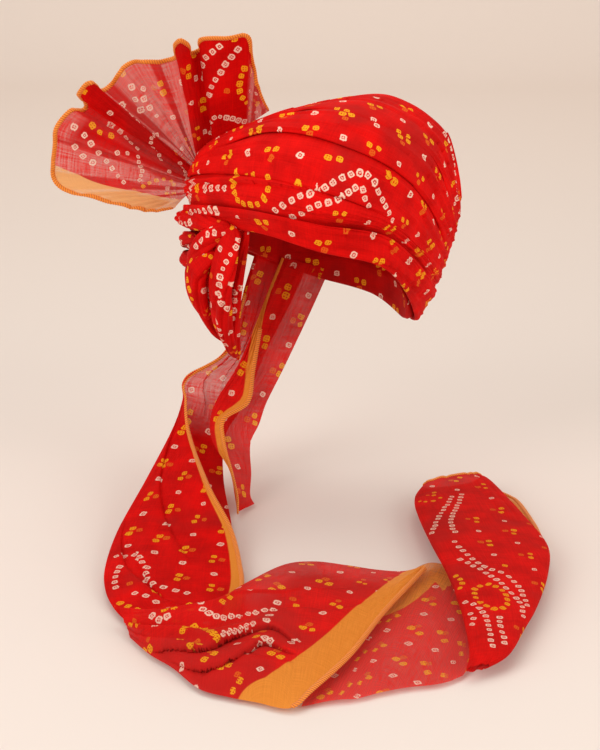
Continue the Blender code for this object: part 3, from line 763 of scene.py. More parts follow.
def inner_turns(columns=304, rows=70):
    """From the outside of the rim, round under it and up the inside to the crown. A place
    on the head is an angle round it and a rise: down the column as a length, and up the
    dome as an angle."""
    turns = np.linspace(0, TURNS, columns + 1)
    outer = turban_points(turns, np.array([[0.9], [0.5], [0.22], [0.1]]) + 0 * turns,
                          np.array([[10.0], [10.0], [9.2], [8.2]]) + 0 * turns)
    unit = (outer[-1] - HEAD_CENTRE) / HEAD
    around = np.arctan2(unit[:, 1], unit[:, 0])
    flat = np.linalg.norm(unit[:, :2], axis=1)
    rim = np.where(unit[:, 2] > 0, np.arctan2(unit[:, 2], flat), unit[:, 2])
    share = np.linspace(0, 1, rows)[:, None] ** 0.9
    rise = rim + (np.pi / 2 - rim) * share
    lift, out = np.where(rise > 0, np.sin(rise), rise), np.cos(np.maximum(rise, 0))
    place = np.stack([np.cos(around) * out, np.sin(around) * out, lift], axis=2)
    along = around * ROUND_RADIUS
    across = rise * DOME_RADIUS
    lean = across / BAND + 0.35 * np.sin(2 * around + 0.6) + 0.2 * wander(
        (turns * 1.5)[None, :], across / 30, 5, 12)
    saw = lean - np.floor(lean)
    step = 2.4 * (saw ** 1.5) * np.minimum((1 - saw) * 12, 1)
    ripple = 0.5 * creases((turns * 3)[None, :], lean * 3.0, 6, 24)
    fade = np.minimum(share * 6, 1) * np.minimum((1 - share) * 6, 1)
    radius = 1 - ((step + ripple) * fade)[..., None] / ROUND_RADIUS
    inside = place * HEAD * radius + HEAD_CENTRE
    lip = outer[-1] * 0.5 + inside[0] * 0.5 - (0, 0, 1.2)
    points = np.concatenate([outer, lip[None], inside])
    cloth = np.concatenate([np.repeat(np.stack([along, across[0]], 1)[None], 5, 0),
                            np.stack(np.broadcast_arrays(along[None, :], across), 2)])
    cloth[:5, :, 1] -= np.array([38, 24, 15, 10, 5])[:, None]
    chart = dye_chart(ground_dots((-300, -90), (300, 130), (10, 8), 0.3), [])
    return cloth_piece("wound_core_cloth", points, cloth, chart, closed=True, flip=True)


core = inner_turns()
place_cloth(core, "wound_core", shaded_inner_cotton)

# %% [markdown]
# ## The hank over the ear
# The free width of the cloth is pulled down over the ear. A small roll crosses its top, three
# knots of gathers stand at the side, and soft folds hang down to one thin end. A fold here is
# a closed tube of cloth: an ellipse carried along a line, with a few soft ribs that twist
# slowly and finer creases between them.

# %% Hank strands
# For each piece: the solid that it stands for, number of ribs, turns of twist, height of the
# ribs, and rows from the top down (x, y, z, half width round the head, half thickness)
STRANDS = {
    "hank_roll": ("tie_roll", 6, 0.5, 0.12, (
        (-124, 5, 279, 4, 4), (-118, -20, 283, 6, 5), (-105, -41, 285, 7, 5.5),
        (-93, -56, 286, 6, 5), (-79, -70, 287, 4, 3))),
    "hank_knot_high": ("tie_roll", 6, 0.3, 0.16, (
        (-112, -22, 286, 5, 4), (-121, -8, 283, 6, 6), (-122, 10, 279, 6, 6),
        (-112, 34, 272, 5, 4))),
    "hank_knot_middle": ("tie_roll", 6, -0.3, 0.16, (
        (-108, -28, 266, 5, 4), (-118, -10, 263, 7, 6), (-118, 10, 259, 7, 6),
        (-108, 34, 252, 5, 4))),
    "hank_knot_low": ("tie_roll", 6, 0.4, 0.16, (
        (-106, -34, 250, 5, 4), (-117, -14, 246, 7, 6), (-118, 8, 242, 7, 6),
        (-109, 34, 236, 7, 5), (-99, 54, 231, 5, 4))),
    "hank_upper_fold": ("hank_lobe", 6, 0.25, 0.12, (
        (-77, -70, 288, 6, 4), (-88, -62, 281, 8, 5.5), (-99, -51, 271, 9, 6.5),
        (-107, -42, 260, 9, 6.5), (-112, -30, 248, 7, 5), (-113, -18, 238, 4, 4))),
    "hank_lobe_fold": ("hank_lobe", 5, 0.2, 0.1, (
        (-89, -52, 262, 6, 4), (-100, -48, 255, 11, 6), (-107, -41, 243, 13, 8.5),
        (-108, -37, 226, 12, 9), (-105, -31, 210, 9, 7), (-99, -20, 192, 4, 4))),
    "hank_middle_fold": ("hank_lobe", 6, 0.3, 0.13, (
        (-86, -50, 272, 8, 4), (-94, -42, 252, 9, 6), (-95, -34, 226, 9, 7),
        (-92, -24, 204, 8, 6), (-84, -14, 180, 5, 5))),
    "hank_face_fold": ("hank_face_strand", 7, 0.22, 0.1, (
        (-73, -72, 288, 9, 4), (-77, -69, 276, 12, 5), (-82, -64, 255, 14, 7.5),
        (-86, -57, 228, 14, 8.5), (-86, -43, 199, 12, 8.5), (-80, -26, 171, 8, 6),
        (-74, -12, 153, 3, 3))),
    "hank_thin_fold": ("hank_face_strand", 5, 0.3, 0.12, (
        (-62, -70, 285, 3, 3), (-66, -63, 264, 4.5, 3.5), (-71, -53, 238, 6, 4),
        (-75, -41, 205, 6, 5), (-76, -29, 181, 5.5, 5), (-73, -12, 151, 3, 3))),
    "hank_back_fold": ("hank_back_strand", 5, -0.4, 0.2, (
        (-97, 13, 262, 11, 5), (-103, 15, 246, 14, 6), (-110, 18, 221, 15, 9),
        (-106, 22, 200, 13, 9), (-92, 24, 168, 5, 5))),
    "hank_side_fold": ("hank_back_strand", 4, 0.3, 0.18, (
        (-106, -8, 262, 9, 5), (-112, -8, 244, 11, 6), (-112, -8, 222, 11, 8),
        (-103, -6, 198, 10, 8), (-88, 0, 166, 4, 4))),
    "hank_nape_fold": ("hank_nape_strand", 5, 0.4, 0.2, (
        (-90, 47, 242, 11, 5), (-95, 48, 228, 13, 6), (-99, 50, 208, 14, 8),
        (-94, 48, 190, 12, 8), (-82, 42, 164, 4, 4))),
}
# Chains as mm down the fold and round it, where 0 faces front and minus is outward
STRAND_CHAINS = {
    "hank_face_fold": (
        (((8, 2), (25, -6), (42, -12), (60, -13), (74, -6), (80, 4)), WHITE),
        (((92, -14), (106, -9), (118, -12), (130, -6)), WHITE)),
    "hank_lobe_fold": (
        (((8, -8), (14, -20), (30, -24), (44, -18), (58, -12), (66, -20)), YELLOW),),
    "hank_upper_fold": (
        (((6, -4), (18, -12), (34, -14), (48, -10)), WHITE),),
    "hank_roll": (
        (((18, -10), (32, -14), (48, -10)), WHITE), (((10, 4), (28, 2), (46, 4)), WHITE)),
    "hank_middle_fold": (
        (((16, -10), (40, -14), (66, -8), (88, -12)), WHITE),),
    "hank_thin_fold": (
        (((60, -8), (80, -4), (104, -8)), WHITE),),
    "hank_knot_middle": ((((6, 4), (20, -8), (36, -12)), WHITE),),
    "hank_side_fold": ((((10, 8), (34, 2), (60, 8)), YELLOW),),
}


def strand_piece(name, seed, sides=64, steps=94):
    """An ellipse carried along the strand's line, its size scaled by one plus the ribs'
    height, and closed to a point at both ends."""
    node, number, twist, depth, rows = STRANDS[name]
    data = rows_of(rows, steps)
    line = data[:, :3]
    along = np.gradient(line, axis=0)
    along /= np.linalg.norm(along, axis=1, keepdims=True)
    off_head = line * (1, 1, 0)
    off_head -= along * np.sum(off_head * along, axis=1, keepdims=True)
    off_head /= np.linalg.norm(off_head, axis=1, keepdims=True)
    round_head = np.cross(along, off_head)
    angle = np.linspace(0, 2 * np.pi, sides + 1)[None, :]
    run = np.linspace(0, 1, steps)[:, None]
    phase = number * (angle / 2 + np.pi * twist * run)
    phase = phase + 0.8 * wander(angle / (2 * np.pi) * 4, run * 4, seed, 4)
    rib = np.abs(np.sin(phase)) ** 0.8 - 0.6
    fine = creases(angle / (2 * np.pi) * 10 + 2 * twist * run, run * 3, seed + 1, 10)
    ends = np.sin(np.pi * np.clip(np.minimum(run, 1 - run) / 0.1, 0, 1) / 2) ** 0.6
    size = (1 + depth * 2.0 * rib + 0.09 * fine) * ends
    ring = (np.cos(angle)[..., None] * round_head[:, None] * (data[:, 3:4] * size)[..., None]
            + np.sin(angle)[..., None] * off_head[:, None] * (data[:, 4:5] * size)[..., None])
    points = line[:, None] + ring
    cloth = flat_places(points)
    middle = cloth[len(cloth) // 2, :, 1]
    cloth[..., 1] = middle[None, :] - middle[-1] / 2
    ground = ground_dots((0, -60), (180, 60), (14 + 3 * seed % 20, 4))
    chart = dye_chart(ground, STRAND_CHAINS.get(name, []))
    return cloth_piece(name, points, cloth, chart, closed=True, flip=True), node


for number, name in enumerate(STRANDS):
    strand, node = strand_piece(name, seed=31 + number)
    place_cloth(strand, node, hank_cotton)

# %% [markdown]
# ## The hem
# The cut edges are overlocked with orange thread: a thick narrow braid whose stitches slant
# round the edge, about 2.2 mm apart. A ring carried along the edge, with one ridge that
# winds round it, gives those stitches as real relief.

# %% Hem
STITCH = 2.2
HEM_HALF_WIDTH = 2.0
HEM_HALF_THICKNESS = 1.0
HEM_INSET = 1.2
HEM_STEP = 0.55
HEM_SIDES = 10


def hem_piece(name, edge, inner):
    """A flat braid along an edge: its section is an ellipse 4 by 2 mm, swollen by a sixth
    where a ridge passes that winds round it once for each stitch."""
    run = np.append(0, np.cumsum(np.linalg.norm(np.diff(edge, axis=0), axis=1)))
    places = np.linspace(0, run[-1], max(8, int(run[-1] / HEM_STEP)))
    middle = np.stack([np.interp(places, run, edge[:, k]) for k in range(3)], axis=1)
    inside = np.stack([np.interp(places, run, inner[:, k]) for k in range(3)], axis=1)
    along = np.gradient(middle, axis=0)
    along /= np.linalg.norm(along, axis=1, keepdims=True)
    side = middle - inside
    side -= along * np.sum(side * along, axis=1, keepdims=True)
    side /= np.linalg.norm(side, axis=1, keepdims=True)
    up = np.cross(side, along)
    angle = np.linspace(0, 2 * np.pi, HEM_SIDES + 1)[None, :]
    wind = np.cos(2 * angle + 2 * np.pi * places[:, None] / STITCH)
    ends = np.minimum(1, np.minimum(places, run[-1] - places) / HEM_HALF_WIDTH)[:, None] ** 0.5
    size = (1 + 0.17 * wind) * ends
    points = (middle - side * HEM_INSET)[:, None] + (
        side[:, None] * (np.cos(angle) * size * HEM_HALF_WIDTH)[..., None]
        + up[:, None] * (np.sin(angle) * size * HEM_HALF_THICKNESS)[..., None])
    mesh = grid_mesh(name, points, closed=True)[0]
    relief = mesh.attributes.new("relief", "FLOAT", "POINT")
    relief.data.foreach_set("value", wind[:, :-1].astype(np.float32).ravel())
    piece = bpy.data.objects.new(name, mesh)
    bpy.context.scene.collection.objects.link(piece)
    piece.data.materials.append(thread)
    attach(piece, "root")
    print(name, f"{run[-1]:.0f} mm", len(mesh.polygons), "faces")
    return piece


def thread_material():
    """Bright orange polyester overlock thread: a little glossier than the cotton."""
    material, tree = empty_tree("overlock_thread")
    relief = add_node(tree, "Attribute", attribute_name="relief").outputs["Fac"]
    # Painted shade: the thread is painted dark orange in the grooves between the stitches and
    # full orange on their ridges.
    stitch_shading = add_node(tree, "MapRange", {"Value": relief, "From Min": -0.8,
                                         "From Max": 0.2}).outputs[0]
    colour = add_node(tree, "Mix", {0: stitch_shading, 6: linear("#a84204"), 7: linear("#f08a10")},
                      data_type="RGBA").outputs[2]
    surface = add_node(tree, "BsdfPrincipled", {"Base Color": colour, "Roughness": 0.55,
                                                "Sheen Weight": 0.2}).outputs[0]
    add_node(tree, "OutputMaterial", {"Surface": surface})
    return material


thread = thread_material()

# %% [markdown]
# ## The crest
# The crest (turra) is the starched end of the cloth, pleated like a fan and tucked in behind
# the wraps. Each row of the table is one line from the root to the hem, and a smooth curve
# from row to row makes rounded pleats. Panels of one layer let the light through.

# %% Crest
# Columns: hem x, y, z, root x, y, z, from the lowest pleat round to the last one
FAN_PLEATS = (
    (-130, 2, 289, -128, 16, 290), (-147, -4, 288, -127, 16, 293),
    (-164, -8, 291, -126, 17, 296), (-185, -10, 297, -125, 17, 299),
    (-208, -12, 303, -124, 18, 302), (-227, -11, 308, -123, 18, 304),
    (-236, -11, 318, -122, 19, 306), (-236, -13, 332, -121, 20, 308),
    (-233, -17, 349, -121, 18, 311), (-231, -19, 364, -121, 16, 313),
    (-220, -9, 378, -120, 20, 315), (-209, 5, 378, -119, 25, 316),
    (-207, 0, 385, -119, 23, 319), (-211, -14, 393, -119, 18, 321),
    (-201, -20, 404, -118, 17, 324), (-196, -8, 401, -117, 21, 325),
    (-192, 4, 395, -116, 26, 326), (-184, 8, 400, -115, 24, 328),
    (-175, 4, 412, -115, 21, 330), (-167, 10, 418, -114, 25, 331),
    (-154, 5, 420, -113, 22, 333), (-139, 10, 420, -112, 26, 334),
    (-127, 5, 424, -111, 24, 336), (-126, -12, 435, -111, 18, 338),
    (-120, -23, 441, -108, 17, 341), (-113, -14, 436, -105, 19, 344),
    (-114, 4, 428, -102, 26, 344), (-105, 8, 430, -97, 28, 346),
    (-104, -8, 440, -95, 23, 350), (-83, -14, 442, -84, 24, 356),
    (-61, -11, 442, -66, 26, 365), (-58, 4, 416, -62, 32, 366),
    (-55, 12, 396, -56, 36, 368), (-45, 18, 374, -46, 38, 371),
)
# How see-through the crest is: pleat number, then 0 for several layers to 1 for one
FAN_SHEER = ((0, 1.0), (7, 1.0), (8.5, 0.9), (9, 0.1), (11, 0.1), (12.5, 0.0),
             (15, 0.0), (16, 0.9), (22, 0.9), (22.5, 0.0), (30, 0.0), (31, 0.9), (33, 1.0))
# The orange border's upper line: share of the way from root to hem, pleat number
FAN_BORDER = ((0, 1.5), (0.3, 3), (0.5, 5), (0.8, 6.5), (1, 7))
MM_PER_PLEAT = 12
CREST_START = -0.14
CREST_MEASURED_ROW = 80


def distance_to(points, line):
    """Distance from each point to a polyline, and how far along the line it lies as a share:
    the mean share of the line's points, weighted by the inverse sixth power of distance."""
    best = np.full(points.shape[:-1], np.inf)
    total, weights = np.zeros(best.shape), np.zeros(best.shape)
    for number in range(len(line) - 1):
        piece = line[number + 1] - line[number]
        t = np.clip((points - line[number]) @ piece / max(piece @ piece, 1e-9), 0, 1)
        away = np.linalg.norm(points - line[number] - t[..., None] * piece, axis=-1)
        best = np.minimum(best, away)
        weight = (away + 3) ** -6.0
        total += weight * (number + t) / (len(line) - 1)
        weights += weight
    return best, total / weights


def crest_points(across=10, steps=100):
    """Lines from root to hem, softened between pleats, with radial creases that grow from
    the root and a slow bow in each pleat. They start inside the wraps, 14 hundredths of
    their length before the root."""
    places = np.linspace(0, len(FAN_PLEATS) - 1, (len(FAN_PLEATS) - 1) * across + 1)
    data = spline(FAN_PLEATS, places)
    reach = np.linspace(CREST_START, 1, steps)[:, None]
    points = data[:, 3:] + (data[:, :3] - data[:, 3:]) * reach[..., None]
    normal = normals_of(points)
    grown = np.sin(np.pi * np.clip(reach, 0, 1) * 0.8) ** 0.5
    crease = 1.2 * creases(places[None, :] * 1.6, reach * 1.5, 71) * grown
    ripple = 1.3 * wander(places[None, :] * 1.3, reach * 3.0, 72) * np.clip(reach, 0, 1)
    return points + normal * (crease + ripple)[..., None], places


crest, pleat_places = crest_points()
fan_reach = np.linspace(CREST_START, 1, len(crest))
border_top = np.interp(fan_reach, *np.array(FAN_BORDER).T)
fan_border = (border_top[:, None] - pleat_places) * MM_PER_PLEAT
sheer_rows = np.array(FAN_SHEER)
fan_sheer = np.interp(pleat_places, sheer_rows[:, 0], sheer_rows[:, 1])[None, :]
doubled = wander(pleat_places[None, :] * 1.9, np.linspace(0, 1.4, len(crest))[:, None], 77)
fan_sheer = fan_sheer * np.clip(1.6 - 4 * np.clip(doubled, 0, 1), 0.2, 1)
corner = np.clip((fan_reach[:, None] - 0.82) * 10, 0, 1) * (np.abs(pleat_places - 9.3) < 0.9)
fan_sheer = np.maximum(fan_sheer, 0.8 * corner)
crest_flat = flat_places(crest)
crest_across = np.broadcast_to(crest_flat[CREST_MEASURED_ROW, :, 1], crest.shape[:2])
crest_cloth = np.stack([crest_flat[..., 0], crest_across], axis=2)
fan_ground = ground_dots((0, -10), (130, 520), (80, 330))
# Chains as mm from the root towards the hem, and mm round the fan
FAN_CHAINS = (
    (((100, 140), (85, 135), (65, 110), (55, 90)), WHITE),
    (((95, 125), (85, 115), (75, 110)), WHITE),
    (((65, 130), (50, 140), (45, 120), (45, 95)), WHITE),
    (((45, 85), (35, 100), (25, 110), (20, 95)), YELLOW),
    (((90, 150), (80, 145), (70, 150)), YELLOW),
    (((85, 170), (65, 160), (50, 150)), WHITE),
    (((50, 230), (45, 190), (35, 155)), WHITE),
    (((95, 250), (70, 235)), WHITE),
    (((85, 260), (75, 250), (55, 250)), WHITE),
    (((90, 230), (55, 210)), WHITE),
    (((20, 200), (10, 130)), WHITE),
    (((75, 365), (85, 385), (100, 405)), WHITE),
    (((95, 420), (65, 395), (50, 385)), WHITE),
    (((75, 425), (50, 420), (30, 430)), YELLOW),
    (((20, 365), (30, 395), (10, 430)), WHITE),
)
fan = cloth_piece("turra_fan_cloth", crest, crest_cloth, dye_chart(fan_ground, FAN_CHAINS),
                  flip=True, border=fan_border, sheer=fan_sheer)
fan_hem = hem_piece("turra_fan_hem", crest[-1], crest[-5])
place_cloth(fan, "turra_fan", crest_cotton)

# %% [markdown]
# ## The falling tail
# From the nape the rest of the cloth falls, doubled over on its left side, and lands on the
# floor. The section starts at the hem of the upper layer, runs to the fold, goes round it and
# comes back below. Creases run down the cloth, and a few slant across where it turns.

# %% Tail sections
# Columns: fold x, y, z, hem of the upper layer x, y, z, edge of the under layer x, y, z,
# half the gap between the layers
TAIL_FALL = (
    ((-56, 84, 238), (-55, 83, 238), (-8, 107, 216), 1.6),
    ((-70, 90, 195), (-69, 89, 195), (-24, 111, 178), 1.7),
    ((-89, 98, 130), (-88, 99, 131), (-49, 110, 127), 2.0),
    ((-129, 90, 104), (-128, 91, 104), (-64, 107, 90), 2.5),
    ((-132, 82, 84), (-129, 81, 83), (-77, 96, 66), 3.0),
    ((-141, 64, 60), (-125, 59, 55), (-90, 80, 47), 3.8),
    ((-161, -6, 34), (-102, -37, 37), (-89, 20, 26), 4.2),
    ((-179, -85, 16), (-78, -94, 15), (-79, -61, 13), 4.2),
    ((-183, -160, 11), (-66, -168, 6), (-75, -140, 11), 4.0),
    ((-178, -205, 8), (-64, -218, 4), (-72, -208, 9), 3.2),
    ((-166, -240, 6), (-66, -254, 4), (-72, -250, 7.5), 2.2),
    ((-149, -270, 5), (-70, -290, 4), (-74, -288, 7), 2.0),
)
TAIL_INNER = (
    ((-34, 88, 225), (-33, 87, 225), (12, 99, 210), 1.6),
    ((-50, 88, 184), (-49, 87, 184), (-4, 102, 172), 1.7),
    ((-76, 84, 122), (-61, 82, 120), (-31, 94, 116), 2.0),
    ((-98, 70, 88), (-67, 68, 86), (-49, 80, 83), 2.2),
    ((-104, 54, 70), (-90, 52, 73), (-56, 68, 65), 2.6),
    ((-100, 38, 54), (-90, 37, 56), (-64, 53, 50), 2.6),
    ((-84, 14, 36), (-84, 8, 37), (-62, 34, 25), 2.6),
    ((-78, -4, 14), (-77, -11, 17), (-63, 23, 8), 2.0),
    ((-76, -16, 5), (-75, -24, 5.5), (-60, 8, 4), 0.8),
)


def folded_points(table, steps, columns):
    """A cloth folded on one side. Across it, side runs from -1 at the hem to 1 at the under
    edge: the cloth reaches out from the fold by |side| to the power 1.5, and lies above or
    below the middle by the half gap, reached as 1 - (1 - |side|) cubed."""
    data = rows_of(table, steps)
    fold, hem, back, gap = data[:, :3], data[:, 3:6], data[:, 6:9], data[:, 9]
    along = np.gradient(fold + back, axis=0)
    upward = np.cross(along, back - fold)
    upward /= np.linalg.norm(upward, axis=1, keepdims=True)
    side = np.linspace(-1, 1, columns)
    reach = np.abs(side) ** 1.5
    lift = -np.sign(side) * (1 - (1 - np.abs(side)) ** 3)
    far = np.where((side < 0)[None, :, None], hem[:, None], back[:, None])
    return (fold[:, None] + (far - fold[:, None]) * reach[None, :, None]
            + upward[:, None] * (gap[:, None] * lift)[..., None]), side


def fold_over(points, lines, run, across):
    """Cloth folded over itself along drawn lines. On one side of a line it stands proud,
    sinks back over a wide slope and is drawn over the line; on the other side it dips
    sharply, so its edge hangs over the dip. Each fold fades along its line as a half sine.
    Columns: places as (run, across), rise, width of the slope, of the dip, proud side."""
    height = np.zeros(points.shape[:2])
    drawn = np.zeros(points.shape[:2])
    for line, rise, slope, dip, proud in lines:
        places = spline(line, np.linspace(0, len(line) - 1, 60))
        middle = np.interp(run[:, 0], places[:, 0], places[:, 1])[:, None]
        share = np.clip((run - line[0][0]) / (line[-1][0] - line[0][0]), 0, 1)
        fade = np.sin(np.pi * share) ** 0.5
        away = (across - middle) * proud
        outside = np.maximum(away, 0)
        step = np.where(away > 0, np.exp(-outside / slope) * (1 - np.exp(-outside / (0.2 * dip))),
                        -0.7 * np.exp(np.minimum(away, 0) / dip))
        height += rise * fade * step
        drawn -= proud * rise * fade * np.where(away > 0, np.exp(-outside / (0.35 * slope)), 0)
    sideways = np.gradient(points, axis=1)
    sideways /= np.maximum(np.linalg.norm(sideways, axis=2, keepdims=True), 1e-9)
    return height, sideways * drawn[..., None]


# %% Falling tail
# Places along the tail's run and across it, from -1 at the hem to 1 at the under edge
FALL_FOLDS = (
    (((0.42, -0.05), (0.5, -0.25), (0.6, -0.5), (0.72, -0.75)), 2.4, 0.22, 0.08, 1),
    (((0.62, -0.08), (0.74, -0.3), (0.86, -0.6), (1.0, -0.9)), 3.4, 0.25, 0.07, 1),
    (((0.66, -0.3), (0.8, -0.5), (0.95, -0.7)), 2.2, 0.15, 0.06, -1),
    (((0.08, -0.1), (0.2, -0.4), (0.34, -0.7)), 2.2, 0.14, 0.06, 1),
    (((0.06, 0.2), (0.2, 0.35), (0.4, 0.6)), 2.6, 0.12, 0.06, 1),
    (((0.05, 0.5), (0.2, 0.6), (0.36, 0.8)), 2.0, 0.12, 0.06, 1),
)
FALL_STEPS, FALL_COLUMNS = 300, 130
FALL_HEM_ROW, FALL_BORDER_ROW = 30, 120
fall, fall_side = folded_points(TAIL_FALL, FALL_STEPS, FALL_COLUMNS)
fall_run = np.linspace(0, 1, FALL_STEPS)[:, None]
fall_height, fall_drawn = fold_over(fall, FALL_FOLDS, fall_run, fall_side[None, :])
fall_gather = np.clip(1.1 - fall_run / 0.2, 0, 1)
fall_phase = fall_side[None, :] * 5 + 0.5 * wander(fall_run * 6, fall_side[None, :] * 2, 82)
fall_height += 2.6 * fall_gather * (np.abs(np.sin(np.pi * fall_phase)) ** 0.7 - 0.5)
fall_height = fall_height + 0.9 * creases(fall_run * 5, fall_side[None, :] * 5, 81)
fall_height = fall_height * np.clip(np.abs(fall_side[None, :]) * 5, 0.1, 1)
fall = fall + normals_of(fall) * fall_height[..., None] + 0.6 * fall_drawn
fall[..., 2] = np.maximum(fall[..., 2], 2.6)
fall_cloth = flat_places(fall, FALL_COLUMNS // 2)
away, share = distance_to(fall, fall[FALL_BORDER_ROW:, 0][::6])
fall_border = np.interp(share, (0, 0.35, 1), (0, 6, 17)) - away
fall_border = np.where(fall_side[None, :] < 0, fall_border, -50)
fall_sheer = np.interp(fall_run, (0, 0.15, 0.2, 0.31, 0.36, 0.46), (0, 0.1, 0.9, 0.9, 0.4, 0))
# Chains as mm down the fall, and mm across it from the fold, where minus is the upper layer
FALL_CHAINS = (
    (((435, -5), (425, -25), (450, -40), (480, -45), (500, -80)), WHITE, False, 10.5),
    (((450, -15), (475, -10), (500, -10)), WHITE, False, 10.0),
    (((505, -20), (515, -35), (525, -40)), WHITE),
    (((520, -5), (525, -10), (540, -20)), YELLOW),
)
fall_ground = ground_dots((0, -130), (620, 130), (285, -45), 0.0, 0.4)
fall_piece = cloth_piece("tail_fall_cloth", fall, fall_cloth,
                         dye_chart(fall_ground, FALL_CHAINS), border=fall_border,
                         sheer=fall_sheer)
fall_hem = hem_piece("tail_fall_hem", fall[FALL_HEM_ROW:, 0], fall[FALL_HEM_ROW:, 3])
place_cloth(fall_piece, "tail_fall", tail_cotton)

# %% Inner fold
INNER_STEPS, INNER_COLUMNS = 170, 90
INNER_HEM_ROW = 30
inner, inner_side = folded_points(TAIL_INNER, INNER_STEPS, INNER_COLUMNS)
inner_run = np.linspace(0, 1, INNER_STEPS)[:, None]
inner_height = 0.8 * creases(inner_run * 4, inner_side[None, :] * 4, 83)
inner_gather = np.clip(1.2 - inner_run / 0.5, 0, 1)
inner_phase = inner_side[None, :] * 4 + 0.5 * wander(inner_run * 5, inner_side[None, :] * 2, 84)
inner_height += 2.2 * inner_gather * (np.abs(np.sin(np.pi * inner_phase)) ** 0.7 - 0.5)
inner_height = inner_height * np.clip(np.abs(inner_side[None, :]) * 5, 0.1, 1)
inner = inner + normals_of(inner) * inner_height[..., None]
away, share = distance_to(inner, inner[::6, 0])
inner_border = np.where(inner_side[None, :] < 0, 8.0 - away, -50)
inner_ground = ground_dots((0, -80), (260, 80), (60, -12))
inner_cloth = flat_places(inner, INNER_COLUMNS // 2)
inner_piece = cloth_piece("tail_inner_fall_cloth", inner, inner_cloth,
                          dye_chart(inner_ground, ()), border=inner_border, sheer=0.2)
inner_hem = hem_piece("tail_inner_hem", inner[INNER_HEM_ROW:, 0], inner[INNER_HEM_ROW:, 3])
place_cloth(inner_piece, "tail_inner_fall", tail_cotton)

# %% [markdown]
# ## The roll in front
# The tail turns in front and lies as one soft roll up to its hem. Two deep grooves and
# several creases run along it from the pinched left end. The cloth turns under along both
# long sides, so the roll rests on the floor with round edges.

# %% Roll
# Columns: back edge x, y, z, front edge x, y, z, rise of the crown between them
TAIL_ROLL = (
    ((-163, -254, 15), (-150, -286, 4), 3), ((-135, -272, 20), (-132, -316, 4), 9),
    ((-106, -270, 22), (-113, -339, 4), 13), ((-80, -253, 22), (-91, -373, 4), 14),
    ((-61, -213, 18), (-69, -386, 4), 14), ((-31, -164, 14), (-49, -394, 4), 13),
    ((-5, -154, 13), (-24, -405, 5), 11), ((22, -162, 13), (-7, -388, 11), 8),
    ((48, -172, 13), (22, -335, 13), 6), ((70, -175, 13), (51, -260, 14), 3),
    ((88, -162, 12), (90, -170, 13), 1),
)
# Columns: place across at the left end, drift along the roll, depth, half width, end
ROLL_GROOVES = ((0.52, -0.05, 5, 0.07, 0.62), (0.80, -0.30, 4, 0.06, 0.55))
# Folds as places along and across the roll, rise, slope, dip, side that stands proud
ROLL_FOLDS = (
    (((0.05, 1.0), (0.25, 0.8), (0.35, 0.65), (0.5, 0.6), (0.6, 0.7)), 7.0, 0.13, 0.03, -1),
    (((0.15, 1.0), (0.35, 0.85), (0.45, 0.75), (0.5, 0.7), (0.6, 0.75)), 6.5, 0.1, 0.03, -1),
    (((0.3, 0.95), (0.4, 0.8), (0.5, 0.8), (0.6, 0.8)), 2.6, 0.06, 0.03, 1),
    (((0.05, 0.3), (0.2, 0.25), (0.35, 0.2), (0.5, 0.35), (0.6, 0.3), (0.75, 0.3)),
     3.0, 0.12, 0.04, 1),
    (((0.0, 0.6), (0.15, 0.6), (0.3, 0.5), (0.45, 0.45)), 2.4, 0.09, 0.03, 1),
    (((0.05, 0.8), (0.1, 0.7), (0.25, 0.65)), 2.6, 0.07, 0.03, 1),
    (((0.5, 0.5), (0.6, 0.45), (0.75, 0.5), (0.85, 0.5)), 1.6, 0.1, 0.04, 1),
)
ROLL_HEM_START = 0.6
ROLL_STEPS, ROLL_COLUMNS = 270, 212


def arched_points(table, steps, columns, grooves=()):
    """Between its two edges the cloth rises as 1 - (2a - 1) to the power 4, less bell-shaped
    grooves that drift along it."""
    data = rows_of(table, steps)
    back, front, rise = data[:, :3], data[:, 3:6], data[:, 6]
    across = np.linspace(0, 1, columns)
    points = back[:, None] + (front - back)[:, None] * across[None, :, None]
    lift = rise[:, None] * (1 - (2 * across - 1) ** 4)
    run = np.linspace(0, 1, steps)[:, None]
    for place, drift, depth, width, end in grooves:
        fade = np.clip((end - run) / 0.2, 0, 1) * np.clip(run / 0.08, 0, 1)
        lift = lift - depth * fade * np.exp(-((across - place - drift * run) / width) ** 2)
    points[..., 2] += lift
    return points, run, across


roll, roll_run, roll_across = arched_points(TAIL_ROLL, ROLL_STEPS, ROLL_COLUMNS,
                                            ROLL_GROOVES)
roll_height = 0.5 * creases(roll_run * 4, roll_across[None, :] * 9, 91)
roll_steps, roll_drawn = fold_over(roll, ROLL_FOLDS, roll_run, roll_across[None, :])
roll_height += roll_steps
roll_pinch = np.clip(1 - roll_run / 0.22, 0, 1)
roll_height += 1.3 * roll_pinch * creases(roll_run * 3, roll_across[None, :] * 22, 92)
roll_height = roll_height * np.clip(np.minimum(roll_across, 1 - roll_across) * 12, 0, 1)
roll_loose = np.clip(np.minimum(roll_across, 1 - roll_across) * 12, 0, 1)[:, None]
roll = roll + roll_drawn * roll_loose
roll[..., 2] = np.maximum(roll[..., 2] + roll_height, 2.4)
hem_row = int(ROLL_STEPS * ROLL_HEM_START)
roll_hem = roll[hem_row:, -1]
away, share = distance_to(roll, roll_hem[::5])
roll_border = np.interp(share, (0, 0.15, 1), (46, 39, 13)) - away
roll_cloth = flat_places(roll)
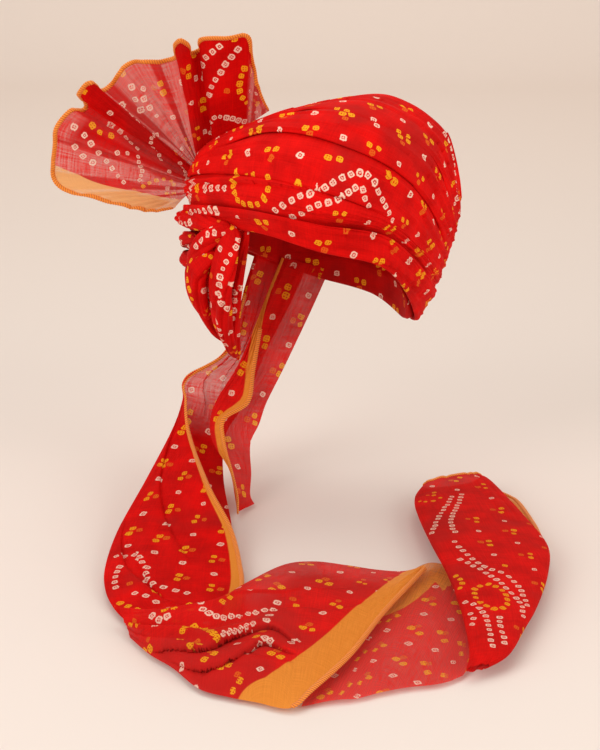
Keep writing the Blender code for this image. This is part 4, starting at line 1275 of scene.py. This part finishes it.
# Chains as mm along the roll from its pinched end, and mm across it from its back edge
ROLL_CHAINS = (
    (((80, 35), (105, 65), (135, 95), (160, 115), (170, 105)), WHITE, False, 13.5),
    (((110, 110), (130, 125), (150, 135)), WHITE),
    (((160, 150), (165, 115)), WHITE, False, 11.5),
    (((70, 90), (70, 70), (80, 55), (95, 85), (110, 115)), YELLOW, False, 11),
    (((35, 20), (45, 30), (55, 30)), WHITE),
    (((145, 200), (160, 180), (170, 190)), WHITE),
)
roll_ground = ground_dots((0, 0), (420, 300), (185, 15), 0.5, -0.4)
roll_piece = cloth_piece("tail_front_roll_cloth", roll, roll_cloth,
                         dye_chart(roll_ground, ROLL_CHAINS), border=roll_border,
                         sheer=0.25)
roll_braid = hem_piece("tail_roll_hem", roll_hem, roll[hem_row:, -6])
place_cloth(roll_piece, "tail_front_roll", tail_cotton)

# %% [markdown]
# ## The single layers
# Between the roll and the folded end one layer lies flat, and the floor shows through it.

# %% Single layers
# Columns: back edge x, y, z, front edge x, y, z, rise between them
TAIL_SHEER = (
    ((10, -240, 5), (-16, -398, 3), 0), ((48, -215, 5), (6, -392, 4), 1),
    ((84, -150, 6), (24, -388, 4), 1),
    ((106, -146, 7), (42, -379, 4), 1), ((124, -178, 7), (63, -371, 4), 1),
    ((132, -229, 6), (86, -365, 4), 0), ((130, -295, 5), (104, -352, 4), 0),
)
TAIL_UNDER = (
    ((146, 30, 4), (164, 53, 4), 0), ((158, 14, 4), (176, 41, 4), 0),
    ((166, -10, 4), (190, 20, 4), 0), ((174, -40, 4), (197, -24, 4), 0),
    ((180, -75, 4), (200, -62, 4), 0), ((182, -112, 4), (200, -104, 4), 0),
)
layer, layer_run, layer_across = arched_points(TAIL_SHEER, 126, 100)
layer[..., 2] += 0.5 * creases(layer_run * 5, layer_across[None, :] * 6, 95)
away, share = distance_to(layer, layer[:, 0][::5])
layer_border = np.where(share < 0.7, 28.0 - away, -50)
layer_ground = ground_dots((0, 0), (240, 260), (105, 130))
layer_piece = cloth_piece("tail_sheer_layer_cloth", layer, flat_places(layer),
                          dye_chart(layer_ground, ()), border=layer_border, sheer=1.0)
place_cloth(layer_piece, "tail_sheer_layer", single_cotton)

under, under_run, under_across = arched_points(TAIL_UNDER, 90, 40)
under[..., 2] += 0.4 * creases(under_run * 5, under_across[None, :] * 3, 96)
under_piece = cloth_piece("tail_under_layer_cloth", under, flat_places(under),
                          dye_chart(ground_dots((0, 0), (200, 60), (300, 90)), ()),
                          border=20.0, sheer=1.0)
under_hem = hem_piece("tail_under_hem", under[:, -1], under[:, -4])
place_cloth(under_piece, "tail_under_layer", single_cotton)

# %% [markdown]
# ## The folded end
# The end of the tail is folded back over itself into a soft flat tube, open towards the
# back. Its section is a squared ellipse, and long creases run from the turn to the mouth.

# %% Folded end
# Columns: left edge x, y, z, right edge x, y, z, half the thickness
TAIL_END = (
    ((106, -357, 11), (124, -349, 11), 2.2), ((110, -338, 15), (141, -334, 14), 4.5),
    ((111, -301, 17), (158, -291, 15), 6.0), ((110, -255, 18), (173, -251, 16), 7.0),
    ((105, -195, 20), (190, -190, 17), 7.5), ((96, -125, 20), (198, -130, 17), 7.5),
    ((90, -60, 19), (186, -56, 17), 7.0), ((90, -16, 18), (168, 32, 16), 6.4),
    ((101, 22, 17), (158, 52, 16), 5.8),
)


def folded_end(steps=230, columns=136):
    """A squared ellipse between the two edges, with creases along the tube."""
    data = rows_of(TAIL_END, steps)
    left, right, half = data[:, :3], data[:, 3:6], data[:, 6]
    angle = np.linspace(0, 2 * np.pi, columns + 1)[None, :]
    run = np.linspace(0, 1, steps)[:, None]
    reach = 0.5 - 0.5 * np.sign(np.cos(angle)) * np.abs(np.cos(angle)) ** 0.8
    lift = np.sign(np.sin(angle)) * np.abs(np.sin(angle)) ** 0.7
    points = left[:, None] + (right - left)[:, None] * reach[..., None]
    crease = creases(run * 5, angle / (2 * np.pi) * 20, 98)
    points[..., 2] += (half[:, None] + 0.9 * crease) * lift
    points[..., 2] = np.maximum(points[..., 2], 2.4)
    return points


end = folded_end()
end_cloth = flat_places(end, 0)
# Chains as mm along the tube from its turn, and mm round it from its left edge
END_CHAINS = (
    (((340, 40), (300, 25), (270, 15), (240, 5)), WHITE),
    (((345, 50), (280, 30), (255, 25), (235, 25)), WHITE),
    (((210, 20), (170, 30), (145, 50), (120, 55), (90, 55)), WHITE),
    (((185, 15), (145, 35), (100, 50), (70, 50)), WHITE),
    (((125, 20), (130, 30), (115, 40), (95, 40), (85, 30), (95, 20), (110, 15)), YELLOW, True,
     8.0),
    (((105, 5), (90, 15), (65, 20), (20, 20)), WHITE),
    (((85, 5), (75, 10), (60, 5)), WHITE),
    (((75, 30), (50, 30), (25, 30)), WHITE),
    (((155, 5), (140, 10), (125, 5)), YELLOW),
    (((345, 5), (330, 15), (340, 30)), YELLOW),
)
end_ground = ground_dots((0, -10), (460, 320), (190, 75))
end_piece = cloth_piece("tail_folded_end_cloth", end, end_cloth,
                        dye_chart(end_ground, END_CHAINS, 2.5), closed=True, sheer=0.15,
                        flip=True)
end_hem = hem_piece("tail_end_hem", end[-1], end[-6])
place_cloth(end_piece, "tail_folded_end", tail_cotton)

# %% [markdown]
# ## Floor and light
# The floor is pale and plain and curves up into the backdrop. A wide soft light hangs
# overhead, a little behind, two weaker ones fill from the front, and one lights the wall.

# %% Floor
FLOOR_SIDE = 6000
FLOOR_FRONT = -5000
FLOOR_BACK = 3400
CURVE_RADIUS = 900
WALL_TOP = 4500


def stage_piece():
    """Flat from the front, then a quarter circle, then upright."""
    angle = np.linspace(0, np.pi / 2, 24)
    y = np.concatenate([[FLOOR_FRONT], FLOOR_BACK + CURVE_RADIUS * np.sin(angle),
                        [FLOOR_BACK + CURVE_RADIUS]])
    z = np.concatenate([[0], CURVE_RADIUS * (1 - np.cos(angle)), [WALL_TOP]])
    x = np.linspace(-FLOOR_SIDE, FLOOR_SIDE, 3)
    points = np.stack(np.broadcast_arrays(x[None, :], y[:, None], z[:, None]), axis=2)
    mesh = grid_mesh("floor", points)[0]
    piece = bpy.data.objects.new("floor", mesh)
    bpy.context.scene.collection.objects.link(piece)
    material, tree = empty_tree("matt_painted_floor")
    surface = add_node(tree, "BsdfPrincipled", {"Base Color": linear("#e9dfd8"),
                                                "Roughness": 0.8}).outputs[0]
    add_node(tree, "OutputMaterial", {"Surface": surface})
    piece.data.materials.append(material)


stage_piece()

# %% Light
# Columns: name, place in mm, what it is aimed at, size in mm, power in watts, colour
LIGHTS = (
    ("overhead", (-100, 200, 1900), (0, 0, 165), 1700, 11, "#fffaf4"),
    ("front_left", (-1500, -1500, 1300), (0, 0, 165), 1400, 24, "#fffdfa"),
    ("front_right", (1600, -1300, 1000), (0, 0, 165), 1400, 17, "#fffaf4"),
    ("backdrop", (0, 1200, 3900), (0, 4300, 3300), 2600, 84, "#fff0e2"),
)
for name, place, target, size, power, colour in LIGHTS:
    lamp = bpy.data.lights.new(name, "AREA")
    lamp.size = size * MM
    lamp.energy = power
    lamp.color = linear(colour)[:3]
    holder = bpy.data.objects.new(name, lamp)
    bpy.context.scene.collection.objects.link(holder)
    holder.location = (np.array(place) - (0, 0, SEAT_HEIGHT)) * MM
    aim = Vector((np.array(place) - target) * MM)
    holder.rotation_euler = aim.to_track_quat("Z", "Y").to_euler()
world = bpy.data.worlds.new("soft_room")
bpy.context.scene.world = world
world.use_nodes = True
world.node_tree.nodes["Background"].inputs["Color"].default_value = linear("#f6eee6")
world.node_tree.nodes["Background"].inputs["Strength"].default_value = 0.6
